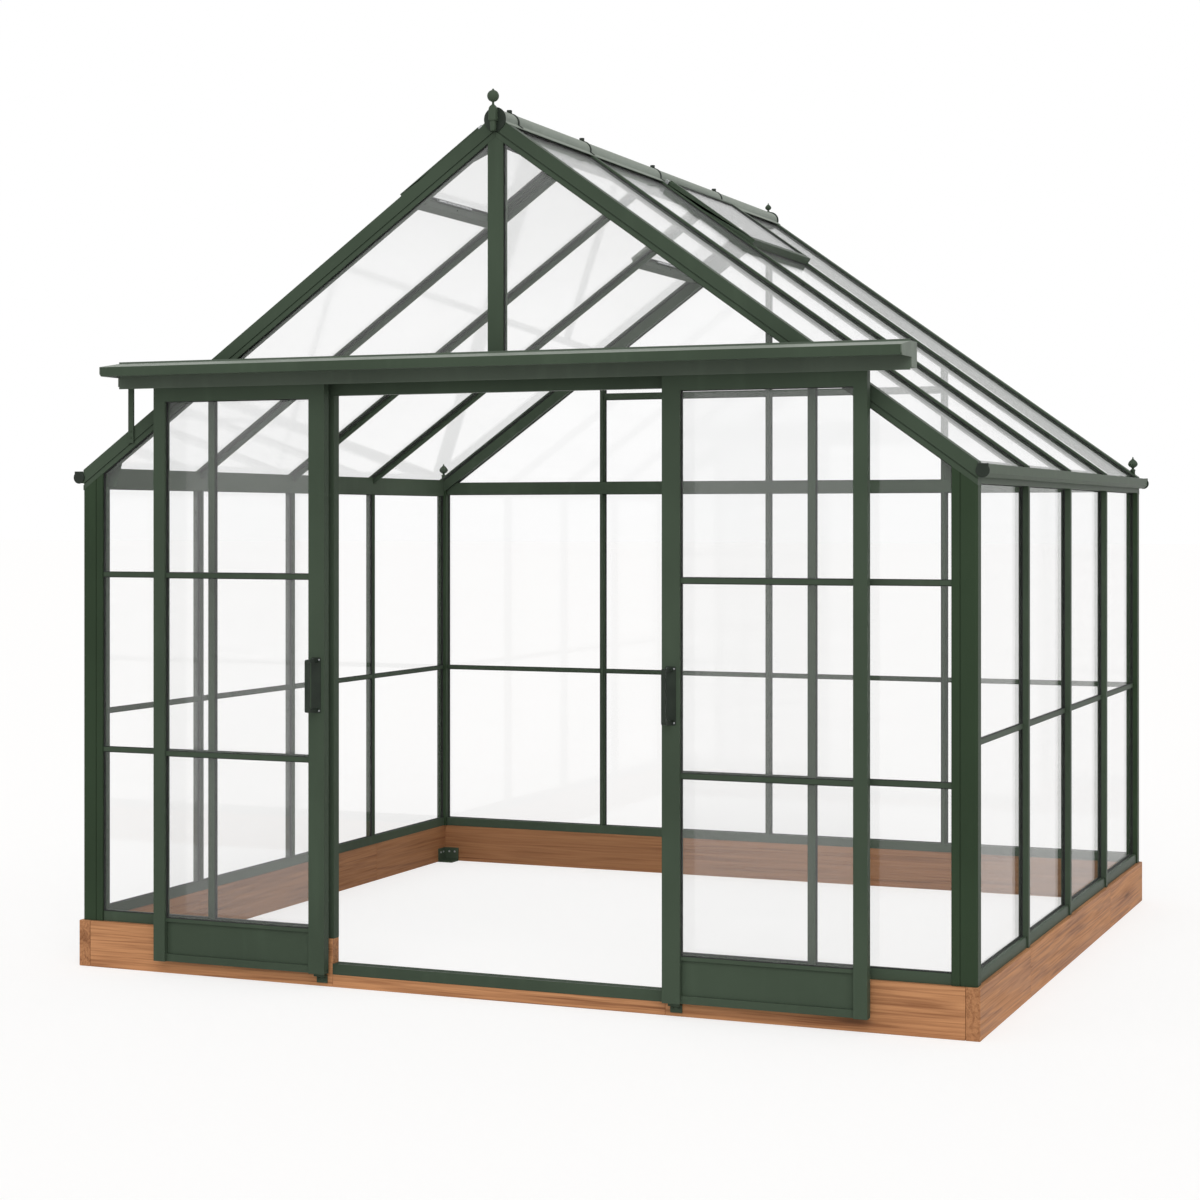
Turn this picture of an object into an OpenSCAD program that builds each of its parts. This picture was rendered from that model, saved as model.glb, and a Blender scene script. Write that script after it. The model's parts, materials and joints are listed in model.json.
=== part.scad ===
// Victorian style glasshouse on a timber base.
// +Z is up, +X is to the right of the doors, +Y runs from the doors to the back.
// The origin is on the ground, in the middle of the timber base.

/* [Timber base] */
// Outside width of the timber base
base_w = 3200; // [2900:10:3500]
// Outside depth of the timber base
base_d = 2850; // [2500:10:3300]
// Height of the base boards
board_h = 160; // [140:5:200]
// Thickness of the base boards
board_t = 45; // [40:1:60]
// Length of the short boards at the ends of each side
board_end_len = 712; // [500:4:900]
// Height of the low board in the doorway
threshold_board_h = 42; // [34:1:50]
// Length of each leg of the corner anchors
anchor_leg = 70; // [55:5:90]
// Plate thickness of the corner anchors
anchor_t = 5; // [4:1:8]
// Height of the corner anchors
anchor_h = 60; // [50:5:90]
// Radius of the ground bolt hole in each corner anchor
anchor_hole_r = 5.5; // [4:0.5:8]

/* [Metal frame] */
// Distance of the frame behind the outside of the base
frame_inset = 10; // [4:1:16]
// Height of the roof line at the outside of the walls
eaves_h = 1735; // [1700:5:1780]
// Height of the roof line at the ridge
ridge_h = 2875; // [2780:5:2950]
// Depth of the wall frame, outside to inside
frame_t = 35; // [32:1:42]
// Height of the sill rails
sill_h = 36; // [30:1:44]
// Distance of the sill rails behind the face of the frame
sill_in = 6; // [3:0.5:6]
// Width of the front corner posts
post_w = 80; // [70:1:95]
// Width of the back corner posts
back_post_w = 45; // [40:1:60]
// Depth of all corner posts and gable rafters, along the house
post_d = 45; // [40:1:60]
// Radius of the rounded outer edge of the posts
post_edge_r = 8; // [4:1:10]
// Wall of the hollow posts
post_wall = 4; // [3:0.5:6]
// Depth of the gable rafters, square to the slope
rafter_d = 58; // [50:1:70]
// Number of bays along each side
side_bays = 4; // [3:1:5]
// Number of bays across the back
back_bays = 4; // [3:1:5]
// Width of the glazing bars
bar_w = 25; // [22:1:30]
// Depth of the glazing bars
bar_d = 35; // [33:1:36]
// Width of the stem of the glazing bars
bar_stem_w = 10; // [8:1:13]
// Height of the thin rails between the panes
rail_h = 16; // [15:1:20]
// Depth of the thin rails
rail_d = 15; // [13:1:18]
// Height of the middle of the side and back rails
side_rail_z = 885; // [800:5:1000]
// Height of the middle of the lower rails in the front and the doors
front_rail_low_z = 760; // [650:5:850]
// Height of the middle of the upper rails in the front and the doors
front_rail_high_z = 1370; // [1250:5:1500]
// Underside of the tie rail across the back gable
back_tie_z = 1676; // [1640:1:1690]
// Height of the tie rail across the back gable
back_tie_h = 53; // [40:1:60]
// Height of the middle of the rail in the back gable
gable_rail_z = 2110; // [1950:5:2150]
// Height of the rail in the back gable
gable_rail_h = 26; // [16:1:40]
// Width of the bar in the middle of the front gable
gable_bar_w = 55; // [45:1:70]
// Half width of the ridge beam
ridge_beam_half = 28; // [24:1:32]
// Width of each side of the ridge cap, down the slope
ridge_cap_w = 60; // [50:1:66]
// Radius of the round top of the ridge cap
ridge_roll_r = 34; // [30:1:36]
// Thickness of the plates that close the ends of the ridge
end_plate_t = 4; // [3:0.5:6]
// Radius of the acorn on the back of the ridge
ridge_acorn_r = 13.5; // [8:0.5:15]
// Radius of the acorns on the back corners
corner_acorn_r = 19.5; // [12:0.5:22]
// Thickness of folded sheet parts
sheet_t = 3; // [2:0.5:4]

/* [Glass] */
// Thickness of the panes
glass_t = 4; // [3:0.5:5]
// Distance of the panes behind the face of the frame in the roof, front and back
glass_in = 10; // [8:0.5:12]
// Distance of the panes behind the face of the frame in the sides
side_glass_in = 23; // [14:0.5:23.5]
// Depth of the grooves that hold the panes
groove_d = 6; // [5:0.5:6.5]
// Depth that a pane goes into the grooves at its sides and top
pane_bite = 5.5; // [4.5:0.25:5.5]
// Play between a pane and each wall of its groove
groove_play = 0.3; // [0.2:0.05:0.5]

/* [Gutter] */
// Width of the gutter outside the wall
gutter_w = 32; // [26:1:45]
// Height of the gutter
gutter_h = 40; // [34:1:48]
// Size of the slanted lower edge of the gutter
gutter_edge = 12; // [8:1:16]
// Depth of the eaves rail below the gutter floor
eaves_rail_h = 18; // [16:1:30]

/* [Doorway] */
// Clear width between the door jambs
doorway_w = 1188; // [1000:4:1300]
// Width of the door jambs
jamb_w = 38; // [30:1:50]
// Underside of the tie rail over the doorway
lintel_z = 1975; // [1940:5:2000]
// Top of the tie rail over the doorway
lintel_top_z = 2100; // [2090:5:2130]
// Height of the metal threshold
threshold_rail_h = 36; // [24:1:40]
// Half length of the door header
header_half = 1400; // [1300:10:1500]
// Underside of the door header
header_z = 2018; // [2010:1:2030]
// Height of the door header
header_h = 79; // [76:1:90]
// Distance of the front of the header in front of the base
header_out = 53; // [50:1:60]
// Distance of the front of the canopy in front of the base
canopy_out = 164; // [130:2:200]
// Height of the front edge of the canopy
canopy_edge_h = 32; // [24:1:40]
// Fall of the canopy from back to front
canopy_fall = 17; // [8:1:30]
// Width of the strut under the left end of the header
strut_w = 21; // [18:1:34]

/* [Doors] */
// Width of each door
door_w = 665; // [640:5:700]
// Thickness of the doors
door_t = 32; // [28:1:34]
// Gap between the doors and the timber base
door_gap = 15; // [13:1:17]
// Height of the underside of the doors
door_foot_z = 48; // [44:1:52]
// Gap between the top of the doors and the header
door_head_gap = 6; // [6:1:10]
// Distance that an open door stands back from the doorway
door_reveal = 6; // [2:1:20]
// Width of the stile at the meeting edge
meeting_stile_w = 60; // [50:1:75]
// Width of the stile at the far edge
outer_stile_w = 45; // [38:1:60]
// Height of the top rail of the doors
door_top_rail_h = 48; // [36:1:60]
// Height of the bottom rail of the doors
door_bottom_rail_h = 25; // [20:1:34]
// Distance of the bottom rail behind the face of the stiles
door_rail_in = 12; // [4:1:14]
// Distance of the kick panel behind the face of the stiles
kick_panel_in = 20; // [14:1:20]
// Height of the kick panel
kick_panel_h = 110; // [80:5:180]
// Thickness of the kick panel
kick_panel_t = 8; // [6:1:8]
// Height of the bead above the kick panel
kick_bead_h = 14; // [13:1:20]
// Distance of each door wheel from the edge of its door
hanger_inset = 90; // [60:5:150]
// Rolling radius of the door wheels
wheel_r = 18; // [16:0.5:20]
// Radius of the wheel axles
axle_r = 4; // [3:0.5:5]
// Height of the middle of the door pulls
pull_z = 1010; // [900:5:1150]
// Height of the door pulls
pull_h = 175; // [140:5:200]
// Reach of the outside pulls in front of the door
pull_reach = 66; // [45:1:70]
// Reach of the inside pulls behind the door
inner_pull_reach = 20; // [18:0.5:21]

/* [Roof vents] */
// Length down the slope of the vent in the right slope
right_vent_len = 420; // [300:10:600]
// Length down the slope of the vents in the left slope
left_vent_len = 360; // [300:10:600]
// Width of the frame around a vent
vent_frame_w = 26; // [25:1:40]
// Thickness of a vent
vent_t = 20; // [19.5:0.5:21]
// Length of the stay that props a vent open
stay_len = 260; // [160:5:320]

/* [Hidden] */
$fn = 48;

// Colours
green = [0.25, 0.30, 0.25];
dark_green = [0.18, 0.22, 0.18];
timber = [0.69, 0.48, 0.32];
pane_tint = [0.90, 0.94, 0.93, 0.35];
steel = [0.62, 0.63, 0.64];
black = [0.13, 0.14, 0.13];

// Width of the fine joint between two pieces of the same kind
joint_gap = 0.3;

// Outer faces of the frame
hw = base_w / 2 - frame_inset;
base_front = -base_d / 2;
yf = base_front + frame_inset;
yb = -yf;

// Roof geometry
pitch = atan((ridge_h - eaves_h) / hw);
slope_len = hw / cos(pitch);
function roof_z(x) = ridge_h - abs(x) * tan(pitch);
function under_z(x) = roof_z(x) - rafter_d / cos(pitch);

// Bays along the sides and across the back
sill_top = board_h + sill_h;
side_y0 = yf + post_d;
side_y1 = yb - post_d;
side_clear = (side_y1 - side_y0 - (side_bays - 1) * bar_w) / side_bays;
function side_bay_y(i) = side_y0 + i * (side_clear + bar_w);
back_half = hw - back_post_w;
back_clear = (2 * back_half - (back_bays - 1) * bar_w) / back_bays;
function back_bay_x(i) = -back_half + i * (back_clear + bar_w);

// Gutter and eaves rail, where s runs inwards from the outside of the wall
gutter_floor_z = eaves_h - 7 - gutter_h;
eaves_rail_z = gutter_floor_z - eaves_rail_h;
pane_foot_overhang = 14;
function pane_under_z(s) = eaves_h + s * tan(pitch) - (glass_in + glass_t + groove_play) / cos(pitch);

// Front wall
doorway_half = doorway_w / 2;
jamb_out = doorway_half + jamb_w;
post_in = hw - post_w;
front_bar_x = (jamb_out + post_in) / 2;
front_rows = [
    [sill_top, front_rail_low_z - rail_h / 2],
    [front_rail_low_z + rail_h / 2, front_rail_high_z - rail_h / 2],
    [front_rail_high_z + rail_h / 2, lintel_z]
];
front_columns = [
    [jamb_out, front_bar_x - bar_w / 2],
    [front_bar_x + bar_w / 2, post_in]
];
side_rows = [
    [sill_top, side_rail_z - rail_h / 2],
    [side_rail_z + rail_h / 2, eaves_rail_z]
];
back_rows = [
    [sill_top, side_rail_z - rail_h / 2],
    [side_rail_z + rail_h / 2, back_tie_z]
];
rail_in = (glass_in + glass_t / 2) - rail_d / 2;
side_rail_in = (side_glass_in + glass_t / 2) - rail_d / 2;

// The gable rail runs only between the outermost back bars
back_gable_foot = back_tie_z + back_tie_h;
function back_gable_rows(i) =
    i == 0 || i == back_bays - 1
        ? [[back_gable_foot, ridge_h]]
        : [
            [back_gable_foot, gable_rail_z - gable_rail_h / 2],
            [gable_rail_z + gable_rail_h / 2, ridge_h]
        ];

// Header, track and canopy
header_front = base_front - header_out;
header_top_z = header_z + header_h;
canopy_front = base_front - canopy_out;
canopy_nose_d = 18;
canopy_flange_h = 26;

// Doors, drawn for the left one with its meeting edge at x = 0
door_edge = doorway_half + door_reveal;
door_front = base_front - door_gap - door_t;
door_mid = door_front + door_t / 2;
door_top = header_z - door_head_gap;
door_glass_y = door_mid - glass_t / 2;
kick_top = door_foot_z + door_bottom_rail_h + kick_panel_h;
door_rows = [
    [kick_top + kick_bead_h, front_rail_low_z - rail_h / 2],
    [front_rail_low_z + rail_h / 2, front_rail_high_z - rail_h / 2],
    [front_rail_high_z + rail_h / 2, door_top - door_top_rail_h]
];
pull_t = 12;
pull_w = 14;

// Hangers, wheels and the track that they roll on
slot_half = 7;
hanger_t = 6;
hanger_foot_t = 4;
track_t = 4;
roll_gap = 0.3;
bore_play = 0.05;
wheel_flange_t = 2;
wheel_flange_h = 3;
wheel_side_gap = 0.5;
tread_w = 9.5;
wheel_y = door_mid + hanger_t / 2 + wheel_side_gap;
wheel_w = wheel_flange_t + tread_w;
wheel_z = header_z + sheet_t + track_t + roll_gap + wheel_r;

// Floor guides that a groove in each door runs over
guide_w = 40;
guide_t = 4;
guide_groove_w = 8;
guide_groove_h = 14;
guide_y = door_front + door_t - guide_groove_w;

// Vents as [side, first bay, last bay, length], where side is -1 on the left slope
vent_right = [1, side_bays - 2, side_bays - 2, right_vent_len];
vent_left_front = [-1, 0, 0, left_vent_len];
vent_left_back = [-1, side_bays - 1, side_bays - 1, left_vent_len];
vents = [vent_right, vent_left_front, vent_left_back];
vent_lap = 14.5;
hinge_rod_r = 4;
hinge_play = 0.06;
hinge_barrel_r = vent_t / 2 - 2.3;
vent_lift = 0.3;
hinge_z = vent_lift + hinge_barrel_r;
hinge_x = slope_len - ridge_cap_w - hinge_barrel_r - 4;
hinge_lug_w = 8;
trimmer_w = 25;
stay_t = 4;
stay_w = 10;
stay_pin_r = 3;
stay_gap = 1.5;
ridge_face_x = (hw - ridge_beam_half) / cos(pitch);
ridge_pane_x = ridge_face_x - (glass_in + glass_t / 2) * tan(pitch);
function vent_y0(v) = side_bay_y(v[1]) - vent_lap;
function vent_y1(v) = side_bay_y(v[2]) + side_clear + vent_lap;
function vent_foot_x(v) = hinge_x - v[3];

// General helpers
module box(low, high) {
    translate(low)
        cube(high - low);
}

module both_sides() {
    children();
    mirror([1, 0, 0])
        children();
}

module front_and_back() {
    children();
    mirror([0, 1, 0])
        children();
}

// A flat plate in the XZ plane, from y to y + t
module plate_xz(y, t, points) {
    translate([0, y + t, 0])
        rotate([90, 0, 0])
            linear_extrude(t)
                polygon(points);
}

// Slope frame: x runs up the slope from the eaves, y along the house, z out of the roof
module on_slope(side) {
    mirror([side > 0 ? 1 : 0, 0, 0])
        translate([-hw, 0, eaves_h])
            rotate([0, -pitch, 0])
                children();
}

// Everything under the rafters
module under_roof() {
    plate_xz(yf, yb - yf, [
        [-hw, 0],
        [hw, 0],
        [hw, under_z(hw)],
        [0, under_z(0)],
        [-hw, under_z(hw)]
    ]);
}

// Section of a glazing bar: width along x, depth along y from the outer face
module bar_section(pane_in) {
    groove_0 = pane_in - groove_play;
    groove_1 = pane_in + glass_t + groove_play;
    shoulder = groove_1 + 4;
    edge = 2;
    half = bar_w / 2;
    web = half - groove_d;
    stem = bar_stem_w / 2;
    polygon([
        [-half + edge, 0], [half - edge, 0], [half, edge], [half, groove_0],
        [web, groove_0], [web, groove_1], [half, groove_1], [half, shoulder],
        [stem, shoulder], [stem, bar_d], [-stem, bar_d], [-stem, shoulder],
        [-half, shoulder], [-half, groove_1], [-web, groove_1], [-web, groove_0],
        [-half, groove_0], [-half, edge]
    ]);
}

// An upright glazing bar on the left wall, front wall or back wall
module upright_bar(position, turn, z0, z1, pane_in = glass_in) {
    translate([position[0], position[1], z0])
        rotate([0, 0, turn])
            linear_extrude(z1 - z0)
                bar_section(pane_in);
}

// An upright bar that stands on a sill, with its cap running down in front of the sill
module sill_bar(position, turn, z1, pane_in = glass_in) {
    upright_bar(position, turn, sill_top, z1, pane_in);
    translate([position[0], position[1], board_h])
        rotate([0, 0, turn])
            translate([-bar_w / 2, 0, 0])
                cube([bar_w, sill_in, sill_h]);
}

// Outline of a front or back pane, cut by the rafters
function cell(x0, x1, z0, z1, grow, foot) =
    let (
        a = x0 - grow,
        b = x1 + grow,
        rise = grow / cos(pitch),
        level_half = (under_z(0) + rise - z1 - grow) / tan(pitch),
        kinks = level_half > 0 ? [level_half, -level_half] : [0]
    )
    concat(
        [[a, z0 - foot], [b, z0 - foot], [b, min(z1 + grow, under_z(b) + rise)]],
        [for (x = kinks) if (x < b && x > a) [x, min(z1 + grow, under_z(x) + rise)]],
        [[a, min(z1 + grow, under_z(a) + rise)]]
    );

// Widest x at which a level still lies under the rafters
function reach_x(z) = (under_z(0) - z) / tan(pitch);

// Panes of the left wall, or the grooves that hold them
module left_wall_panes(grow, foot, play) {
    for (i = [0 : side_bays - 1], row = side_rows)
        box(
            [-hw + side_glass_in - play, side_bay_y(i) - grow, row[0] - foot],
            [
                -hw + side_glass_in + glass_t + play,
                side_bay_y(i) + side_clear + grow,
                row[1] + grow
            ]
        );
}

// Panes of the back wall and gable, or the grooves that hold them
module back_wall_panes(grow, foot, play) {
    y = yb - glass_in - glass_t - play;
    t = glass_t + 2 * play;
    for (i = [0 : back_bays - 1]) {
        x0 = back_bay_x(i);
        x1 = x0 + back_clear;
        for (row = back_rows)
            plate_xz(y, t, cell(x0, x1, row[0], row[1], grow, foot));
        for (row = back_gable_rows(i))
            plate_xz(y, t, cell(
                max(x0, -reach_x(row[0])),
                min(x1, reach_x(row[0])),
                row[0], row[1], grow, foot
            ));
    }
}

// Panes of the right half of the front wall and gable, or the grooves that hold them
module right_front_panes(grow, foot, play) {
    y = yf + glass_in - play;
    t = glass_t + 2 * play;
    for (column = front_columns, row = front_rows)
        plate_xz(y, t, cell(column[0], column[1], row[0], row[1], grow, foot));
    plate_xz(y, t, cell(gable_bar_w / 2, reach_x(lintel_top_z), lintel_top_z, ridge_h, grow, foot));
}

// Where the glass of a roof bay ends at the top
function bay_vent(side, i) = [for (v = vents) if (v[0] == side && i >= v[1] && i <= v[2]) v];
function bay_top_x(side, i) =
    len(bay_vent(side, i)) > 0 ? vent_foot_x(bay_vent(side, i)[0]) : ridge_pane_x;

// Panes of one slope, or the grooves that hold them
module slope_panes(side, grow, play) {
    for (i = [0 : side_bays - 1])
        box(
            [-pane_foot_overhang, side_bay_y(i) - grow, -glass_in - glass_t - play],
            [bay_top_x(side, i) + grow, side_bay_y(i) + side_clear + grow, -glass_in + play]
        );
}

module wall_grooves() {
    both_sides()
        left_wall_panes(groove_d, groove_d, groove_play);
    back_wall_panes(groove_d, groove_d, groove_play);
    both_sides()
        right_front_panes(groove_d, groove_d, groove_play);
}

module roof_grooves() {
    for (side = [-1, 1])
        on_slope(side)
            slope_panes(side, groove_d, groove_play);
}

// Timber base
module base_boards() {
    inner_w = base_w / 2 - board_t;
    end_w = inner_w - joint_gap;
    end_y = base_front + board_end_len;
    color(timber) {
        both_sides() {
            box([-base_w / 2, base_front, 0], [-inner_w, end_y - joint_gap, board_h]);
            box([-base_w / 2, end_y, 0], [-inner_w, -end_y, board_h]);
            box([-base_w / 2, joint_gap - end_y, 0], [-inner_w, -base_front, board_h]);
            box([-end_w, base_front, 0], [-doorway_half, base_front + board_t, board_h]);
        }
        box([-end_w, -base_front - board_t, 0], [end_w, -base_front, board_h]);
    }
}

module threshold_board() {
    color(timber)
        box(
            [-doorway_half, base_front, 0],
            [doorway_half, base_front + board_t, threshold_board_h]
        );
}

// Anchor in each inner corner: two upright legs and a foot with a ground bolt hole
module corner_anchor() {
    translate([base_w / 2 - board_t, -base_front - board_t, 0])
        difference() {
            union() {
                box([-anchor_leg, -anchor_leg, 0], [0, 0, anchor_t]);
                box([-anchor_leg, -anchor_t, 0], [0, 0, anchor_h]);
                box([-anchor_t, -anchor_leg, 0], [0, 0, anchor_h]);
            }
            translate([-anchor_leg / 2, -anchor_leg / 2, -1])
                cylinder(h = anchor_t + 2, r = anchor_hole_r);
        }
}

module corner_anchors() {
    color(green)
        front_and_back()
            both_sides()
                corner_anchor();
}

// Section of a sill: x runs inwards from the face of the frame, and the foot is hollow
module sill_section() {
    wall = 4;
    edge = 3;
    difference() {
        polygon([
            [sill_in, 0],
            [frame_t, 0],
            [frame_t, sill_h],
            [sill_in + edge, sill_h],
            [sill_in, sill_h - 2 * edge]
        ]);
        translate([sill_in + wall, wall])
            square([frame_t - sill_in - 2 * wall, sill_h - groove_d - 2 * wall]);
    }
}

module sill_rails() {
    color(green)
        difference() {
            union() {
                both_sides()
                    translate([-hw, side_y1, board_h])
                        rotate([90, 0, 0])
                            linear_extrude(side_y1 - side_y0)
                                sill_section();
                translate([back_half, yb, board_h])
                    rotate([90, 0, -90])
                        linear_extrude(2 * back_half)
                            sill_section();
                both_sides()
                    translate([jamb_out, yf, board_h])
                        rotate([90, 0, 90])
                            linear_extrude(post_in - jamb_out)
                                sill_section();
            }
            wall_grooves();
        }
}

module threshold_rail() {
    channel_w = 8;
    channel_d = 10;
    top = threshold_board_h + threshold_rail_h;
    color(green)
        difference() {
            box(
                [-doorway_half, base_front, threshold_board_h],
                [doorway_half, base_front + board_t, top]
            );
            for (middle = [board_t / 3, board_t * 2 / 3])
                box(
                    [-doorway_half - 1, base_front + middle - channel_w / 2, top - channel_d],
                    [doorway_half + 1, base_front + middle + channel_w / 2, top + 1]
                );
        }
}

// Rounded outer edge for a post, as the material to take away
module edge_round(r, h) {
    difference() {
        translate([-1, -1, 0])
            cube([r + 1, r + 1, h]);
        translate([r, r, -1])
            cylinder(h = h + 2, r = r);
    }
}

// A front or back post of the left wall; the front one has a shadow line in its face
module left_post(w, face_line) {
    line_w = 3;
    groove_clear = groove_d + post_wall;
    intersection() {
        under_roof();
        difference() {
            box([-hw, yf, board_h], [-hw + w, yf + post_d, ridge_h]);
            box(
                [-hw + post_wall, yf + post_wall, board_h - 1],
                [-hw + w - groove_clear, yf + post_d - groove_clear, ridge_h + 1]
            );
            translate([-hw, yf, board_h - 1])
                edge_round(post_edge_r, ridge_h);
            if (face_line)
                box(
                    [-hw + w - bar_w - line_w, yf - 1, board_h - 1],
                    [-hw + w - bar_w, yf + line_w, ridge_h]
                );
        }
    }
}

module front_posts() {
    color(green)
        difference() {
            both_sides()
                left_post(post_w, true);
            wall_grooves();
        }
}

module back_posts() {
    color(green)
        difference() {
            mirror([0, 1, 0])
                both_sides()
                    left_post(back_post_w, false);
            wall_grooves();
        }
}

// Gutter trough and, between the posts, the eaves rail that carries it
module left_gutter() {
    wall = sheet_t;
    lip_z = gutter_floor_z + gutter_h;
    rail_wall = 4;
    shelf_z = gutter_floor_z + 2;
    translate([-hw, 0, 0]) {
        plate_xz(yf, yb - yf, [
            [-gutter_w, lip_z],
            [-gutter_w, gutter_floor_z + gutter_edge],
            [-gutter_w + gutter_edge, gutter_floor_z],
            [0, gutter_floor_z],
            [0, pane_under_z(0)],
            [-wall, pane_under_z(-wall)],
            [-wall, gutter_floor_z + wall],
            [-gutter_w + gutter_edge + wall / 2, gutter_floor_z + wall],
            [-gutter_w + wall, gutter_floor_z + gutter_edge + wall / 2],
            [-gutter_w + wall, lip_z]
        ]);
        difference() {
            plate_xz(side_y0, side_y1 - side_y0, [
                [0, eaves_rail_z],
                [frame_t, eaves_rail_z],
                [frame_t, pane_under_z(frame_t)],
                [frame_t - rail_wall, pane_under_z(frame_t - rail_wall)],
                [frame_t - rail_wall, shelf_z],
                [rail_wall, shelf_z],
                [rail_wall, pane_under_z(rail_wall)],
                [0, pane_under_z(0)]
            ]);
            box(
                [rail_wall, side_y0 - 1, eaves_rail_z + groove_d + rail_wall],
                [frame_t - rail_wall, side_y1 + 1, shelf_z - rail_wall]
            );
        }
    }
}

// Notches in the eaves rail for the feet of the roof bars
module bar_notches() {
    for (side = [-1, 1], i = [1 : side_bays - 1])
        on_slope(side)
            box([0, side_bay_y(i) - bar_w, -bar_d], [3 * frame_t, side_bay_y(i), 2 * bar_d]);
}

module eaves_gutters() {
    color(green)
        difference() {
            both_sides()
                left_gutter();
            bar_notches();
            wall_grooves();
        }
}

// Round plates that close the ends of the gutters
module gutter_end_cap() {
    cap_t = 5;
    rim = 1.5;
    lip_z = gutter_floor_z + gutter_h;
    middle = [-hw - gutter_w / 2, yf, gutter_floor_z + gutter_h / 2];
    union() {
        translate(middle)
            rotate([90, 0, 0])
                cylinder(h = cap_t, r = gutter_h / 2 + rim);
        box([-hw - gutter_w - rim, yf - cap_t, middle[2]], [-hw, yf, lip_z + rim]);
    }
}

module gutter_end_caps() {
    color(dark_green)
        front_and_back()
            both_sides()
                gutter_end_cap();
}

// Tie rail across the back at the eaves
module back_tie_rail() {
    color(green)
        difference() {
            intersection() {
                under_roof();
                box([-back_half, yb - frame_t, back_tie_z], [back_half, yb, back_tie_z + back_tie_h]);
            }
            wall_grooves();
        }
}

// Left rafter of the front gable, with a shadow line along its face
module left_front_rafter() {
    line_w = 4;
    line_up = rafter_d * 0.25;
    mitre = joint_gap / 2;
    difference() {
        plate_xz(yf, post_d, [
            [-hw, under_z(hw)],
            [-mitre, under_z(mitre)],
            [-mitre, roof_z(mitre)],
            [-hw, roof_z(hw)]
        ]);
        on_slope(-1)
            box(
                [-slope_len, yf - 1, -rafter_d + line_up],
                [2 * slope_len, yf + line_w, -rafter_d + line_up + line_w]
            );
    }
}

module front_rafters() {
    color(green)
        difference() {
            both_sides()
                left_front_rafter();
            wall_grooves();
            roof_grooves();
        }
}

module back_rafters() {
    color(green)
        difference() {
            mirror([0, 1, 0])
                both_sides()
                    left_front_rafter();
            wall_grooves();
            roof_grooves();
        }
}

module ridge_beam() {
    color(green)
        difference() {
            plate_xz(side_y0, side_y1 - side_y0, [
                [-ridge_beam_half, under_z(0)],
                [ridge_beam_half, under_z(0)],
                [ridge_beam_half, roof_z(ridge_beam_half)],
                [0, ridge_h],
                [-ridge_beam_half, roof_z(ridge_beam_half)]
            ]);
            roof_grooves();
        }
}

// Ridge cap: a folded sheet with a hollow round top
ridge_roll_z = ridge_h - 14;

module ridge_roll(r, y0, y1) {
    translate([0, y1, ridge_roll_z])
        rotate([90, 0, 0])
            cylinder(h = y1 - y0, r = r);
}

module ridge_cap() {
    half = ridge_cap_w * cos(pitch);
    rise = sheet_t / cos(pitch);
    color(green)
        difference() {
            union() {
                plate_xz(yf, yb - yf, [
                    [-half, roof_z(half)],
                    [0, ridge_h],
                    [half, roof_z(half)],
                    [half, roof_z(half) + rise],
                    [0, ridge_h + rise],
                    [-half, roof_z(half) + rise]
                ]);
                ridge_roll(ridge_roll_r, yf, yb);
            }
            plate_xz(yf - 1, yb - yf + 2, [
                [-half, roof_z(half)],
                [-half, roof_z(half) - ridge_roll_r],
                [half, roof_z(half) - ridge_roll_r],
                [half, roof_z(half)],
                [0, ridge_h]
            ]);
            intersection() {
                ridge_roll(ridge_roll_r - 2, yf - 1, yb + 1);
                box([-half, yf - 1, ridge_h + rise], [half, yb + 1, ridge_h + 3 * ridge_roll_r]);
            }
        }
}

// Rounded plates that close the ends of the ridge
module ridge_end_plate() {
    rim = 5;
    foot_half = ridge_roll_r / 2;
    foot_z = ridge_roll_z - ridge_roll_r - 6;
    union() {
        plate_xz(yf - end_plate_t, end_plate_t, [
            [-foot_half, foot_z],
            [foot_half, foot_z],
            [foot_half, ridge_roll_z],
            [-foot_half, ridge_roll_z]
        ]);
        ridge_roll(ridge_roll_r + rim, yf - end_plate_t, yf);
    }
}

module ridge_end_caps() {
    color(dark_green)
        front_and_back()
            ridge_end_plate();
}

// Clips over the ridge cap: one behind the front gable and one at each roof bar
module ridge_clip(y) {
    strap_w = 12;
    strap_t = 2.5;
    play = 0.2;
    knob_r = 9;
    knob_h = 12;
    half = ridge_cap_w * cos(pitch);
    rise = sheet_t / cos(pitch);
    strap_rise = strap_t / cos(pitch);
    difference() {
        union() {
            plate_xz(y - strap_w / 2, strap_w, [
                [-half, roof_z(half) + rise],
                [0, ridge_h + rise],
                [half, roof_z(half) + rise],
                [half, roof_z(half) + rise + strap_rise],
                [0, ridge_h + rise + strap_rise],
                [-half, roof_z(half) + rise + strap_rise]
            ]);
            ridge_roll(ridge_roll_r + strap_t, y - strap_w / 2, y + strap_w / 2);
            translate([0, y, ridge_roll_z])
                cylinder(h = ridge_roll_r + knob_h, r = knob_r);
        }
        ridge_roll(ridge_roll_r + play, y - strap_w, y + strap_w);
        plate_xz(y - strap_w, 2 * strap_w, [
            [-half - 1, roof_z(half + 1) + rise],
            [-half - 1, roof_z(half) - 3 * ridge_roll_r],
            [half + 1, roof_z(half) - 3 * ridge_roll_r],
            [half + 1, roof_z(half + 1) + rise],
            [0, ridge_h + rise]
        ]);
    }
}

module ridge_clips() {
    first_y = side_y0 + 65;
    color(dark_green)
        for (y = concat([first_y], [for (i = [1 : side_bays - 1]) side_bay_y(i) - bar_w / 2]))
            ridge_clip(y);
}

// Roof bars, and the trimmers that carry the feet of the vents
module roof_bar(y, x1) {
    translate([0, y, 0])
        rotate([0, 90, 0])
            linear_extrude(x1)
                rotate(-90)
                    bar_section(glass_in);
}

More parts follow.
